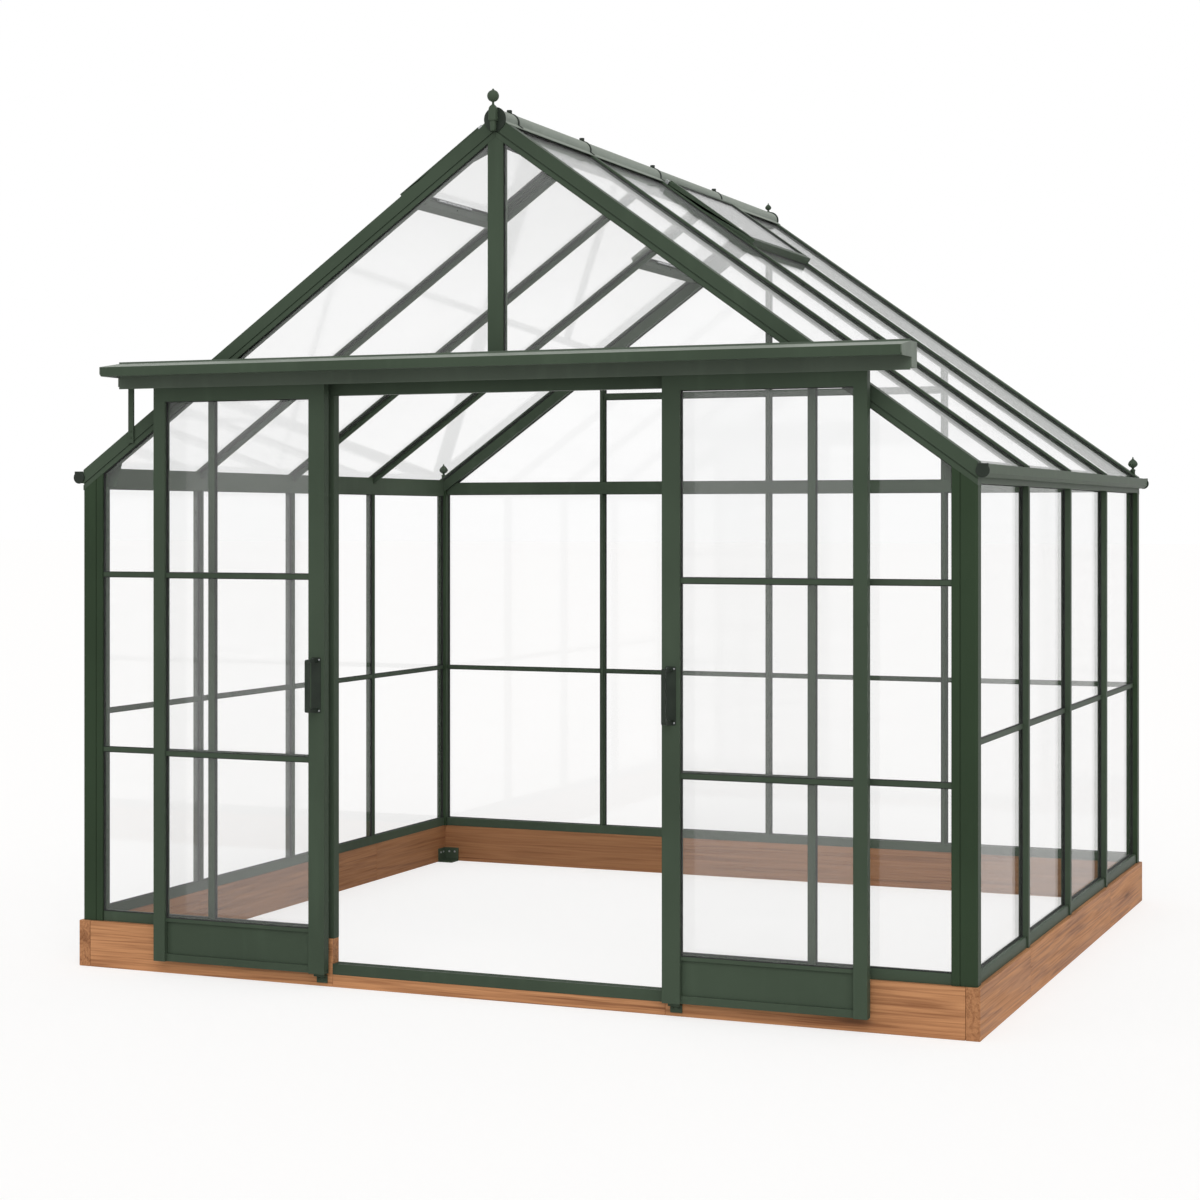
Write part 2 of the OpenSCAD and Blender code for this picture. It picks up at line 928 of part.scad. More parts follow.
// A bar inside a wide vent stops at its trimmer
function bar_top_x(side, i) =
    let (under = [for (v = vents) if (v[0] == side && i > v[1] && i <= v[2]) v])
    len(under) > 0 ? vent_foot_x(under[0]) : ridge_face_x;

module vent_trimmer(v) {
    peg_r = 3;
    peg_len = 5;
    middle = (vent_y0(v) + vent_y1(v)) / 2;
    x0 = vent_foot_x(v);
    box(
        [x0, vent_y0(v) + vent_lap, -bar_d],
        [x0 + trimmer_w, vent_y1(v) - vent_lap, 0]
    );
    translate([x0 + trimmer_w, middle, -bar_d / 2])
        rotate([0, 90, 0])
            cylinder(h = peg_len, r = peg_r);
}

module roof_bars() {
    color(green)
        difference() {
            union() {
                for (side = [-1, 1], i = [1 : side_bays - 1])
                    on_slope(side)
                        roof_bar(side_bay_y(i) - bar_w / 2, bar_top_x(side, i));
                for (v = vents)
                    on_slope(v[0])
                        vent_trimmer(v);
            }
            box([-ridge_beam_half, yf, eaves_h], [ridge_beam_half, yb, 2 * ridge_h]);
            roof_grooves();
        }
}

// Upright bars of the side walls and of the back wall and gable
module side_wall_bars() {
    color(green)
        both_sides()
            for (i = [1 : side_bays - 1])
                sill_bar([-hw, side_bay_y(i) - bar_w / 2], -90, eaves_rail_z, side_glass_in);
}

module back_wall_bars() {
    color(green)
        for (i = [1 : back_bays - 1]) {
            x = back_bay_x(i) - bar_w / 2;
            sill_bar([x, yb], 180, back_tie_z);
            intersection() {
                under_roof();
                upright_bar([x, yb], 180, back_tie_z + back_tie_h, ridge_h);
            }
        }
}

// Thin rails between the panes of the sides, the back and the back gable
module thin_rails() {
    z0 = side_rail_z - rail_h / 2;
    z1 = side_rail_z + rail_h / 2;
    color(green)
        difference() {
            union() {
                both_sides()
                    for (i = [0 : side_bays - 1])
                        box(
                            [-hw + side_rail_in, side_bay_y(i), z0],
                            [-hw + side_rail_in + rail_d, side_bay_y(i) + side_clear, z1]
                        );
                for (i = [0 : back_bays - 1])
                    box(
                        [back_bay_x(i), yb - rail_in - rail_d, z0],
                        [back_bay_x(i) + back_clear, yb - rail_in, z1]
                    );
                for (i = [1 : back_bays - 2])
                    box(
                        [back_bay_x(i), yb - rail_in - rail_d, gable_rail_z - gable_rail_h / 2],
                        [back_bay_x(i) + back_clear, yb - rail_in, gable_rail_z + gable_rail_h / 2]
                    );
            }
            wall_grooves();
        }
}

// Upright bars and thin rails of the fixed lights beside the doorway
module front_bars() {
    color(green)
        both_sides() {
            sill_bar([front_bar_x, yf], 0, lintel_z);
            difference() {
                for (column = front_columns, z = [front_rail_low_z, front_rail_high_z])
                    box(
                        [column[0], yf + rail_in, z - rail_h / 2],
                        [column[1], yf + rail_in + rail_d, z + rail_h / 2]
                    );
                right_front_panes(groove_d, groove_d, groove_play);
            }
        }
}

module door_jambs() {
    color(green)
        difference() {
            both_sides()
                box([doorway_half, yf, board_h], [jamb_out, yf + frame_t, lintel_z]);
            wall_grooves();
        }
}

module door_lintel() {
    color(green)
        difference() {
            intersection() {
                under_roof();
                box([-hw, yf, lintel_z], [hw, yf + frame_t, lintel_top_z]);
            }
            wall_grooves();
        }
}

module gable_centre_bar() {
    color(green)
        difference() {
            intersection() {
                under_roof();
                box(
                    [-gable_bar_w / 2, yf, lintel_top_z],
                    [gable_bar_w / 2, yf + frame_t, ridge_h]
                );
            }
            wall_grooves();
        }
}

// Header: a hollow beam with a lip in front of the doors and a slot for their hangers
module header_beam() {
    lip_h = door_head_gap + 2;
    upstand_h = 6;
    color(green)
        difference() {
            union() {
                box([-header_half, header_front, header_z], [header_half, yf, header_top_z]);
                box(
                    [-header_half, header_front, header_z - lip_h],
                    [header_half, header_front + sheet_t, header_z]
                );
                box(
                    [-header_half, header_front, header_top_z],
                    [header_half, header_front + sheet_t, header_top_z + upstand_h]
                );
            }
            box(
                [-header_half - 1, header_front + sheet_t, header_z + sheet_t],
                [header_half + 1, yf - sheet_t, header_top_z - sheet_t]
            );
            box(
                [-header_half - 1, door_mid - slot_half, header_z - 1],
                [header_half + 1, door_mid + slot_half, header_z + sheet_t + 1]
            );
        }
}

module door_track() {
    color(steel)
        box(
            [-header_half, door_mid + slot_half + 0.5, header_z + sheet_t],
            [header_half, wheel_y + wheel_w, header_z + sheet_t + track_t]
        );
}

// Canopy: a hollow nose in front, a falling sheet and a flange on the header
module canopy() {
    top_z = header_top_z;
    nose_top = top_z - canopy_fall;
    nose_back = canopy_front + canopy_nose_d;
    wall = sheet_t;
    color(green)
        translate([-header_half, 0, 0])
            rotate([90, 0, 90])
                linear_extrude(2 * header_half)
                    difference() {
                        polygon([
                            [canopy_front, nose_top - canopy_edge_h],
                            [nose_back, nose_top - canopy_edge_h],
                            [nose_back, nose_top - wall],
                            [header_front - wall, top_z - wall],
                            [header_front - wall, top_z - canopy_flange_h],
                            [header_front, top_z - canopy_flange_h],
                            [header_front, top_z],
                            [canopy_front, nose_top]
                        ]);
                        polygon([
                            [canopy_front + wall, nose_top - canopy_edge_h + wall],
                            [nose_back - wall, nose_top - canopy_edge_h + wall],
                            [nose_back - wall, nose_top - wall],
                            [canopy_front + wall, nose_top - wall]
                        ]);
                    }
}

// End plates that close the header and the nose of the canopy
module header_end_caps() {
    cap_t = 4;
    nose_top = header_top_z - canopy_fall;
    nose_foot = nose_top - canopy_edge_h;
    rim = 1.5;
    chamfer = 8;
    color(dark_green)
        both_sides()
            translate([header_half, 0, 0])
                rotate([90, 0, 90])
                    linear_extrude(cap_t)
                        polygon([
                            [canopy_front - rim, nose_foot + chamfer],
                            [canopy_front + chamfer, nose_foot],
                            [header_front, nose_foot],
                            [header_front, header_z],
                            [yf, header_z],
                            [yf, header_top_z],
                            [header_front, header_top_z],
                            [canopy_front - rim, nose_top]
                        ]);
}

// Flat strut from the left end of the header down to the rafter
module header_strut() {
    strut_t = 8;
    color(green)
        box(
            [-header_half, yf - strut_t, under_z(header_half - strut_w / 2) + rafter_d / 3],
            [strut_w - header_half, yf, header_z]
        );
}

// Glass
module side_glass() {
    color(pane_tint)
        both_sides()
            left_wall_panes(pane_bite, groove_d, 0);
}

module back_glass() {
    color(pane_tint)
        back_wall_panes(pane_bite, groove_d, 0);
}

module front_glass() {
    color(pane_tint)
        both_sides()
            right_front_panes(pane_bite, groove_d, 0);
}

module roof_glass() {
    color(pane_tint)
        for (side = [-1, 1])
            on_slope(side)
                slope_panes(side, pane_bite, 0);
}

// Acorn on a slender foot, standing at z = 0
module acorn(cup_r) {
    foot_h = cup_r * 0.75;
    cup_h = cup_r * 0.65;
    nut_h = cup_r * 1.1;
    tip_r = cup_r * 0.17;
    tip_h = cup_r * 0.35;
    cylinder(h = foot_h / 2, r1 = cup_r * 0.45, r2 = cup_r * 0.25);
    cylinder(h = foot_h, r = cup_r * 0.25);
    translate([0, 0, foot_h - 1])
        cylinder(h = cup_h, r1 = cup_r * 0.5, r2 = cup_r);
    translate([0, 0, foot_h + cup_h - 1])
        cylinder(h = nut_h, r1 = cup_r, r2 = tip_r);
    translate([0, 0, foot_h + cup_h + nut_h - 2])
        cylinder(h = tip_h, r = tip_r);
}

// Front finial: two square blocks, a shouldered neck and a ball
module front_finial() {
    foot_w = 18;
    foot_h = 32;
    block_w = 25;
    block_h = 40;
    shoulder_r = 11;
    shoulder_h = 15;
    neck_r = 3.5;
    neck_h = 10;
    ball_r = 19.5;
    nub_r = 4;
    foot_z = ridge_h - 55;
    axis_y = yf - end_plate_t - block_w / 2;
    block_z = foot_z + foot_h;
    shoulder_z = block_z + block_h;
    ball_z = shoulder_z + shoulder_h + neck_h + ball_r - 3;
    color(green)
        translate([0, axis_y, 0]) {
            box([-foot_w / 2, -foot_w / 2, foot_z], [foot_w / 2, foot_w / 2, block_z]);
            box([-block_w / 2, -block_w / 2, block_z], [block_w / 2, block_w / 2, shoulder_z]);
            translate([0, 0, shoulder_z])
                cylinder(h = shoulder_h / 2, r1 = shoulder_r, r2 = shoulder_r - 3);
            translate([0, 0, shoulder_z + shoulder_h / 2])
                cylinder(h = shoulder_h / 2, r1 = shoulder_r - 3, r2 = neck_r);
            translate([0, 0, shoulder_z + shoulder_h])
                cylinder(h = neck_h, r = neck_r);
            translate([0, 0, ball_z])
                sphere(r = ball_r);
            translate([0, 0, ball_z + ball_r - 2])
                cylinder(h = 6, r = nub_r);
        }
}

// One acorn on the back of the ridge and one on each back corner of the roof
module back_finials() {
    y = yb - post_d / 2;
    corner_x = hw - back_post_w / 2;
    pad_r = 9;
    pad_h = 4;
    play = 0.2;
    color(green) {
        difference() {
            translate([0, y, ridge_roll_z]) {
                cylinder(h = ridge_roll_r + pad_h, r = pad_r);
                translate([0, 0, ridge_roll_r + pad_h])
                    acorn(ridge_acorn_r);
            }
            ridge_roll(ridge_roll_r + play, yb - 2 * post_d, yb);
        }
        both_sides()
            difference() {
                translate([-corner_x, y, roof_z(corner_x) - pad_r]) {
                    cylinder(h = 2 * pad_r + pad_h, r = pad_r);
                    translate([0, 0, 2 * pad_r + pad_h])
                        acorn(corner_acorn_r);
                }
                on_slope(-1)
                    box([-post_w, yb - 2 * post_d, -2 * rafter_d], [2 * post_w, yb + post_d, 0]);
            }
    }
}

// Floor guides: an angle on the timber whose fin stands in the groove of the door
module door_guides() {
    leg_z = door_foot_z - 8;
    color(green)
        both_sides()
            translate([jamb_out - guide_w / 2, 0, 0]) {
                box([0, base_front - guide_t, leg_z - 28], [guide_w, base_front, leg_z]);
                box([0, guide_y - guide_t / 2, leg_z - guide_t], [guide_w, base_front, leg_z]);
                box(
                    [0, guide_y - guide_t / 2, leg_z - guide_t],
                    [guide_w, guide_y + guide_t / 2, door_foot_z + guide_groove_h - 2]
                );
            }
}

// Left door, with its meeting edge at x = 0
module door_panes(grow, foot, play) {
    for (row = door_rows)
        box(
            [-door_w + outer_stile_w - grow, door_glass_y - play, row[0] - foot],
            [-meeting_stile_w + grow, door_glass_y + glass_t + play, row[1] + grow]
        );
}

module door_frame() {
    left = -door_w + outer_stile_w;
    right = -meeting_stile_w;
    back = door_front + door_t;
    rail_front = door_front + door_rail_in;
    color(green)
        difference() {
            union() {
                box([-door_w, door_front, door_foot_z], [left, back, door_top]);
                box([right, door_front, door_foot_z], [0, back, door_top]);
                box([left, door_front, door_top - door_top_rail_h], [right, back, door_top]);
                box(
                    [left, rail_front, door_foot_z],
                    [right, back, door_foot_z + door_bottom_rail_h]
                );
                box([left, rail_front, kick_top], [right, back, kick_top + kick_bead_h]);
                for (z = [front_rail_low_z, front_rail_high_z])
                    box(
                        [left, door_mid - rail_d / 2, z - rail_h / 2],
                        [right, door_mid + rail_d / 2, z + rail_h / 2]
                    );
            }
            door_panes(groove_d, groove_d, groove_play);
            box(
                [-door_w - 1, guide_y - guide_groove_w / 2, door_foot_z - 1],
                [1, guide_y + guide_groove_w / 2, door_foot_z + guide_groove_h]
            );
        }
}

module door_kick_panel() {
    panel_front = door_front + kick_panel_in;
    color(green)
        box(
            [-door_w + outer_stile_w, panel_front, kick_top - kick_panel_h],
            [-meeting_stile_w, panel_front + kick_panel_t, kick_top]
        );
}

module door_glass() {
    color(pane_tint)
        door_panes(pane_bite, groove_d, 0);
}

// Rounded rectangle, drawn round its middle
module round_rect(w, h, r) {
    square([w - 2 * r, h], center = true);
    square([w, h - 2 * r], center = true);
    for (x = [-1, 1], y = [-1, 1])
        translate([x * (w / 2 - r), y * (h / 2 - r)])
            circle(r = r);
}

// A D shaped loop on a back plate; reach runs along -y from the face at y = 0
module pull(reach, grip_t) {
    plate_t = 2;
    plate_w = 36;
    bend_r = 8;
    loop_mid = -reach / 2;
    union() {
        translate([0, 0, 0])
            rotate([90, 0, 0])
                linear_extrude(plate_t)
                    round_rect(plate_w, pull_h + 10, 5);
        difference() {
            translate([-pull_w / 2, 0, 0])
                rotate([90, 0, 90])
                    linear_extrude(pull_w)
                        difference() {
                            translate([loop_mid, 0])
                                round_rect(reach, pull_h, bend_r);
                            translate([loop_mid + grip_t / 2, 0])
                                square([reach - grip_t, pull_h - 2 * pull_t - 2 * bend_r], center = true);
                            translate([loop_mid + (grip_t - plate_t) / 2, 0])
                                round_rect(reach - grip_t - plate_t, pull_h - 2 * pull_t, min(bend_r - 4, 4));
                        }
        }
    }
}

module door_pulls() {
    outer_x = -meeting_stile_w / 2;
    inner_x = -meeting_stile_w / 3;
    color(dark_green) {
        translate([outer_x, door_front, pull_z])
            pull(pull_reach, pull_t);
        translate([inner_x, door_front + door_t, pull_z])
            mirror([0, 1, 0])
                pull(inner_pull_reach, 7);
    }
}

// Places of the two hangers of a door
hanger_xs = [-door_w + hanger_inset, -hanger_inset];

// Hanger: a foot on the door, a plate through the slot and an axle with a head
module door_hanger(x) {
    foot_w = 70;
    foot_d = 22;
    plate_w = 50;
    head_r = 8;
    head_t = 2;
    axle_len = wheel_y + wheel_w + wheel_side_gap - door_mid;
    union() {
        box(
            [x - foot_w / 2, door_mid - foot_d / 2, door_top],
            [x + foot_w / 2, door_mid + foot_d / 2, door_top + hanger_foot_t]
        );
        box(
            [x - plate_w / 2, door_mid - hanger_t / 2, door_top],
            [x + plate_w / 2, door_mid + hanger_t / 2, wheel_z + 12]
        );
        translate([x, door_mid, wheel_z])
            rotate([-90, 0, 0]) {
                cylinder(h = axle_len + head_t, r = axle_r);
                translate([0, 0, axle_len])
                    cylinder(h = head_t, r = head_r);
            }
    }
}

module door_hangers() {
    color(steel)
        for (x = hanger_xs)
            door_hanger(x);
}

// Door wheel: a tread that runs on the track and a flange beside it
module door_wheel(x) {
    color(black)
        translate([x, wheel_y, wheel_z])
            rotate([-90, 0, 0])
                difference() {
                    union() {
                        cylinder(h = wheel_flange_t, r = wheel_r + wheel_flange_h);
                        cylinder(h = wheel_w, r = wheel_r);
                    }
                    translate([0, 0, -1])
                        cylinder(h = wheel_w + 2, r = axle_r + bore_play);
                }
}

module at_left_door() {
    translate([-door_edge, 0, 0])
        children();
}

module at_right_door() {
    mirror([1, 0, 0])
        at_left_door()
            children();
}

// Vents, in the slope frame
module vent_panes(v, grow, play) {
    pane_z = vent_lift + vent_t - 5 - glass_t;
    box(
        [vent_foot_x(v) + vent_frame_w - grow, vent_y0(v) + vent_frame_w - grow, pane_z - play],
        [hinge_x - vent_frame_w + grow, vent_y1(v) - vent_frame_w + grow, pane_z + glass_t + play]
    );
}

module along_y(x, z, y0, y1, r) {
    translate([x, y1, z])
        rotate([90, 0, 0])
            cylinder(h = y1 - y0, r = r);
}

function stay_x(v) = vent_foot_x(v) + vent_frame_w + stay_gap;
function stay_y(v) = (vent_y0(v) + vent_y1(v) - stay_len) / 2;
stay_z = vent_lift + 0.2 + stay_w / 2;

module vent_frame(v) {
    y0 = vent_y0(v);
    y1 = vent_y1(v);
    x0 = vent_foot_x(v);
    pin_len = stay_gap + stay_t + stay_gap;
    head_t = 1.5;
    color(green)
        difference() {
            union() {
                difference() {
                    box([x0, y0, vent_lift], [hinge_x, y1, vent_lift + vent_t]);
                    box(
                        [x0 + vent_frame_w, y0 + vent_frame_w, vent_lift - 1],
                        [hinge_x - vent_frame_w, y1 - vent_frame_w, vent_lift + vent_t + 1]
                    );
                    box(
                        [hinge_x - hinge_barrel_r, y0 - 1, hinge_z],
                        [hinge_x + 1, y1 + 1, vent_lift + vent_t + 1]
                    );
                }
                along_y(hinge_x, hinge_z, y0, y1, hinge_barrel_r);
                translate([x0 + vent_frame_w, stay_y(v), stay_z])
                    rotate([0, 90, 0]) {
                        cylinder(h = pin_len, r = stay_pin_r);
                        translate([0, 0, pin_len - head_t + 1])
                            cylinder(h = head_t, r = stay_pin_r + 2);
                    }
            }
            vent_panes(v, groove_d, groove_play);
            along_y(hinge_x, hinge_z, y0 - 1, y1 + 1, hinge_rod_r + hinge_play);
        }
}

module vent_glass(v) {
    color(pane_tint)
        vent_panes(v, pane_bite, 0);
}

// Flat stay with a row of peg holes, lying along the foot of the vent
module vent_stay(v) {
    hole_r = 4;
    pitch_y = 35;
    color(steel)
        translate([stay_x(v), stay_y(v), stay_z])
            rotate([90, 0, 90])
                linear_extrude(stay_t)
                    difference() {
                        union() {
                            circle(r = stay_w / 2);
                            translate([0, -stay_w / 2])
                                square([stay_len, stay_w]);
                            translate([stay_len, 0])
                                circle(r = stay_w / 2);
                        }
                        circle(r = stay_pin_r + hinge_play);
                        for (y = [2 * pitch_y : pitch_y : stay_len - 5])
                            translate([y, 0])
                                circle(r = hole_r);
                    }
}

// Hinge rods: each passes through the head of its vent into a lug at each end
module vent_hinge_rod(v) {
    gap = 0.5;
    y0 = vent_y0(v) - gap - hinge_lug_w;
    y1 = vent_y1(v) + gap + hinge_lug_w;
    along_y(hinge_x, hinge_z, y0, y1, hinge_rod_r);
    for (y = [y0, y1 - hinge_lug_w])
        box(
            [hinge_x - hinge_barrel_r, y, 0],
            [hinge_x + hinge_barrel_r, y + hinge_lug_w, hinge_z + hinge_barrel_r]
        );
}

module vent_hinge_rods() {
    color(steel)
        for (v = vents)
            on_slope(v[0])
                vent_hinge_rod(v);
}

base_boards();
threshold_board();
corner_anchors();
sill_rails();
threshold_rail();
front_posts();
back_posts();
eaves_gutters();
gutter_end_caps();
back_tie_rail();
front_rafters();
back_rafters();
ridge_beam();
ridge_cap();
ridge_end_caps();
ridge_clips();
roof_bars();
side_wall_bars();
back_wall_bars();
thin_rails();
front_bars();
door_jambs();
door_lintel();
gable_centre_bar();
header_beam();
door_track();
canopy();
header_end_caps();
header_strut();
side_glass();
back_glass();
front_glass();
roof_glass();
vent_hinge_rods();
front_finial();
back_finials();
door_guides();
at_left_door() door_frame();  // door_left_frame
at_left_door() door_kick_panel();  // door_left_kick_panel
at_left_door() door_glass();  // door_left_glass
at_left_door() door_pulls();  // door_left_pulls
at_left_door() door_hangers();  // door_left_hangers
at_left_door() door_wheel(hanger_xs[0]);  // door_left_wheel_outer
at_left_door() door_wheel(hanger_xs[1]);  // door_left_wheel_inner
at_right_door() door_frame();  // door_right_frame
at_right_door() door_kick_panel();  // door_right_kick_panel
at_right_door() door_glass();  // door_right_glass
at_right_door() door_pulls();  // door_right_pulls
at_right_door() door_hangers();  // door_right_hangers
at_right_door() door_wheel(hanger_xs[0]);  // door_right_wheel_outer
at_right_door() door_wheel(hanger_xs[1]);  // door_right_wheel_inner
on_slope(1) vent_frame(vent_right);  // vent_right_frame
on_slope(1) vent_glass(vent_right);  // vent_right_glass
on_slope(1) vent_stay(vent_right);  // vent_right_stay
on_slope(-1) vent_frame(vent_left_front);  // vent_left_front_frame
on_slope(-1) vent_glass(vent_left_front);  // vent_left_front_glass
on_slope(-1) vent_stay(vent_left_front);  // vent_left_front_stay
on_slope(-1) vent_frame(vent_left_back);  // vent_left_back_frame
on_slope(-1) vent_glass(vent_left_back);  // vent_left_back_glass
on_slope(-1) vent_stay(vent_left_back);  // vent_left_back_stay
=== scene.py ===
"""Looks of a garden greenhouse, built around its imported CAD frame. A script for Blender 4.5."""

import json
import math

import bmesh
import bpy
from bpy.props import FloatProperty, FloatVectorProperty, IntProperty, PointerProperty
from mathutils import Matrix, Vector

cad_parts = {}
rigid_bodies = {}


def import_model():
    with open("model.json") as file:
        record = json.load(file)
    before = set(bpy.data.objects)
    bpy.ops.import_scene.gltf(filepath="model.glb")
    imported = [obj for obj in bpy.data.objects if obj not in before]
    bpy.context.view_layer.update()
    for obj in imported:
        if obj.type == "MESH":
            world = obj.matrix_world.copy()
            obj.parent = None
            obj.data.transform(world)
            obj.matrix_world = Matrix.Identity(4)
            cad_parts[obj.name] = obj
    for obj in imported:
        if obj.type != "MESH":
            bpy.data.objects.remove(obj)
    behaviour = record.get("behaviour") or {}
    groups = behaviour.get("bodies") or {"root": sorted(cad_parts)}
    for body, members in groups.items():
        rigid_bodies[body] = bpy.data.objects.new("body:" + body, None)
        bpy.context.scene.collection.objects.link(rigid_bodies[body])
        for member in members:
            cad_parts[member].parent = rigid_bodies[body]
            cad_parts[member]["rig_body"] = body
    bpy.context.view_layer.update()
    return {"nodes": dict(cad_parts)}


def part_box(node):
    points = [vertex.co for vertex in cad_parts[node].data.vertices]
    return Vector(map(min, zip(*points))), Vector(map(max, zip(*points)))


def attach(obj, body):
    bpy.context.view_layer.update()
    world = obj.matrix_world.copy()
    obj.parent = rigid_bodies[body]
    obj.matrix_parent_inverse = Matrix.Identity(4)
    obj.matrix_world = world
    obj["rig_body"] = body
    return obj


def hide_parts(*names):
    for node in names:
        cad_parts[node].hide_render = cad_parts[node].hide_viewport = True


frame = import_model()
NODES = frame["nodes"]
MM = 0.001
ROUND = 2
HARD_EDGE = math.radians(30)
UP = Vector((0, 0, 1))
FRONT = Vector((0, -1, 0))

bl_info = {
    "name": "Garden greenhouse",
    "version": (1, 0, 0),
    "blender": (4, 5, 0),
    "location": "View3D > Sidebar > Greenhouse",
    "description": "Dresses the frame of a garden greenhouse in its finished pieces and materials",
    "category": "Object",
}


# Settings

class CoatSettings(bpy.types.PropertyGroup):
    """Powder coat of the metal frame."""

    color: FloatVectorProperty(
        name="Coat colour", description="Colour of the powder coat",
        subtype="COLOR", size=3, min=0, max=1, default=(0.056, 0.079, 0.053))
    # A darker copy of the coat for the corner posts: a deeper green, whose darkness also paints in
    # the shade on the posts.
    deep: FloatVectorProperty(
        name="Deep coat colour", description="Colour of the corner posts, a deeper green",
        subtype="COLOR", size=3, min=0, max=1, default=(0.032, 0.053, 0.0285))
    pale: FloatVectorProperty(
        name="Pale coat colour", description="Colour of the gutters and front finial",
        subtype="COLOR", size=3, min=0, max=1, default=(0.07, 0.097, 0.065))
    # A lighter copy of the coat: it paints light onto the header beam, cancelling the shade that
    # the canopy casts on it.
    header: FloatVectorProperty(
        name="Header coat colour", description="Colour of the header beam",
        subtype="COLOR", size=3, min=0, max=1, default=(0.11, 0.138, 0.106))
    # The pale ridge colour is partly weathering of the cap and partly a painted reflection of the
    # bright sky on it.
    ridge: FloatVectorProperty(
        name="Ridge colour", description="Colour of the pale ridge cap",
        subtype="COLOR", size=3, min=0, max=1, default=(0.265, 0.3, 0.26))
    # Faces that look up are blended to this colour: partly sun-bleaching, partly a painted sheen of
    # the bright sky.
    bleach: FloatVectorProperty(
        name="Bleached colour", description="Colour of bleached faces that look up",
        subtype="COLOR", size=3, min=0, max=1, default=(0.30, 0.335, 0.29))
    roughness: FloatProperty(
        name="Coat roughness", description="Roughness of the powder coat",
        subtype="FACTOR", min=0, max=1, default=0.46)
    edge: FloatProperty(
        name="Edge radius", description="Rounding of the edges of profiles",
        unit="LENGTH", min=0, default=0.8 * MM)
    trim: FloatVectorProperty(
        name="Trim colour", description="Colour of the moulded caps, clips and pulls",
        subtype="COLOR", size=3, min=0, max=1, default=(0.018, 0.025, 0.018))
    pale_trim: FloatVectorProperty(
        name="Pale trim colour", description="Colour of the end caps of the header",
        subtype="COLOR", size=3, min=0, max=1, default=(0.105, 0.13, 0.10))


class TimberSettings(bpy.types.PropertyGroup):
    """Boards of the base."""

    light: FloatVectorProperty(
        name="Early wood", description="Colour of the pale wood",
        subtype="COLOR", size=3, min=0, max=1, default=(0.575, 0.275, 0.122))
    dark: FloatVectorProperty(
        name="Late wood", description="Colour of the dark grain",
        subtype="COLOR", size=3, min=0, max=1, default=(0.235, 0.09, 0.033))
    # Colour of the painted shade on the faces inside the house.
    inside_shade: FloatVectorProperty(
        name="Damp wood", description="Colour that the faces inside the house turn to",
        subtype="COLOR", size=3, min=0, max=1, default=(0.09, 0.035, 0.012))
    edge: FloatProperty(
        name="Board edge", description="Rounding of the edges of the boards",
        unit="LENGTH", min=0, default=2.5 * MM)


class GlazingSettings(bpy.types.PropertyGroup):
    """Glass panes and their seals."""

    tint: FloatVectorProperty(
        name="Haze colour", description="Colour of the thin film of dirt on the panes",
        subtype="COLOR", size=3, min=0, max=1, default=(0.66, 0.68, 0.67))
    wall_haze: FloatProperty(
        name="Wall haze", description="How much one face of a wall pane covers what is behind it",
        subtype="FACTOR", min=0, max=1, default=0.007)
    roof_haze: FloatProperty(
        name="Roof haze", description="How much one face of a roof pane covers what is behind it",
        subtype="FACTOR", min=0, max=1, default=0.014)
    seal_radius: FloatProperty(
        name="Seal radius", description="Radius of the rubber bead around a pane",
        unit="LENGTH", min=0, default=2.2 * MM)
    bite: FloatProperty(
        name="Edge cover", description="How far a pane reaches into the profiles around it",
        unit="LENGTH", min=0, default=5.5 * MM)


class FixingSettings(bpy.types.PropertyGroup):
    """Screws and small metal parts."""

    screw_radius: FloatProperty(
        name="Screw radius", description="Radius of a screw head",
        unit="LENGTH", min=0, default=4.5 * MM)
    seed: IntProperty(
        name="Seed", description="Seed for how far each screw is turned", min=0, default=7)
    steel: FloatVectorProperty(
        name="Steel colour", description="Colour of bare steel parts",
        subtype="COLOR", size=3, min=0, max=1, default=(0.5, 0.51, 0.52))


class StageSettings(bpy.types.PropertyGroup):
    """Camera, floor and lights."""

    camera_place: FloatVectorProperty(
        name="Camera place", description="Where the camera stands",
        subtype="XYZ", unit="LENGTH", size=3, default=(3.2473, -8.394, 1.5587))
    camera_turn: FloatProperty(
        name="Camera turn", description="Turn of the level camera to the left of the back wall",
        subtype="ANGLE", unit="ROTATION", default=math.radians(22.42))
    lens: FloatProperty(
        name="Lens", description="Focal length in millimetres", min=1, default=71.05)
    rise: FloatProperty(
        name="Shift", description="Vertical shift of the lens", default=-0.0665)
    sky: FloatProperty(
        name="Sky level", description="Level of the soft light from all round", min=0, default=0.62)
    lamp: FloatProperty(
        name="Lamp level", description="Strength of the wide lamp", min=0, default=1.1)
    lamp_place: FloatVectorProperty(
        name="Lamp place", description="Where the light of the wide lamp comes from",
        subtype="XYZ", unit="LENGTH", size=3, default=(1.8, -4.5, 3.6))
    lamp_spread: FloatProperty(
        name="Lamp spread", description="How wide the lamp looks from the house",
        subtype="ANGLE", unit="ROTATION", default=math.radians(50))
    floor: FloatProperty(
        name="Floor size", description="Half the width of the floor",
        unit="LENGTH", min=1, default=150)


# Node trees

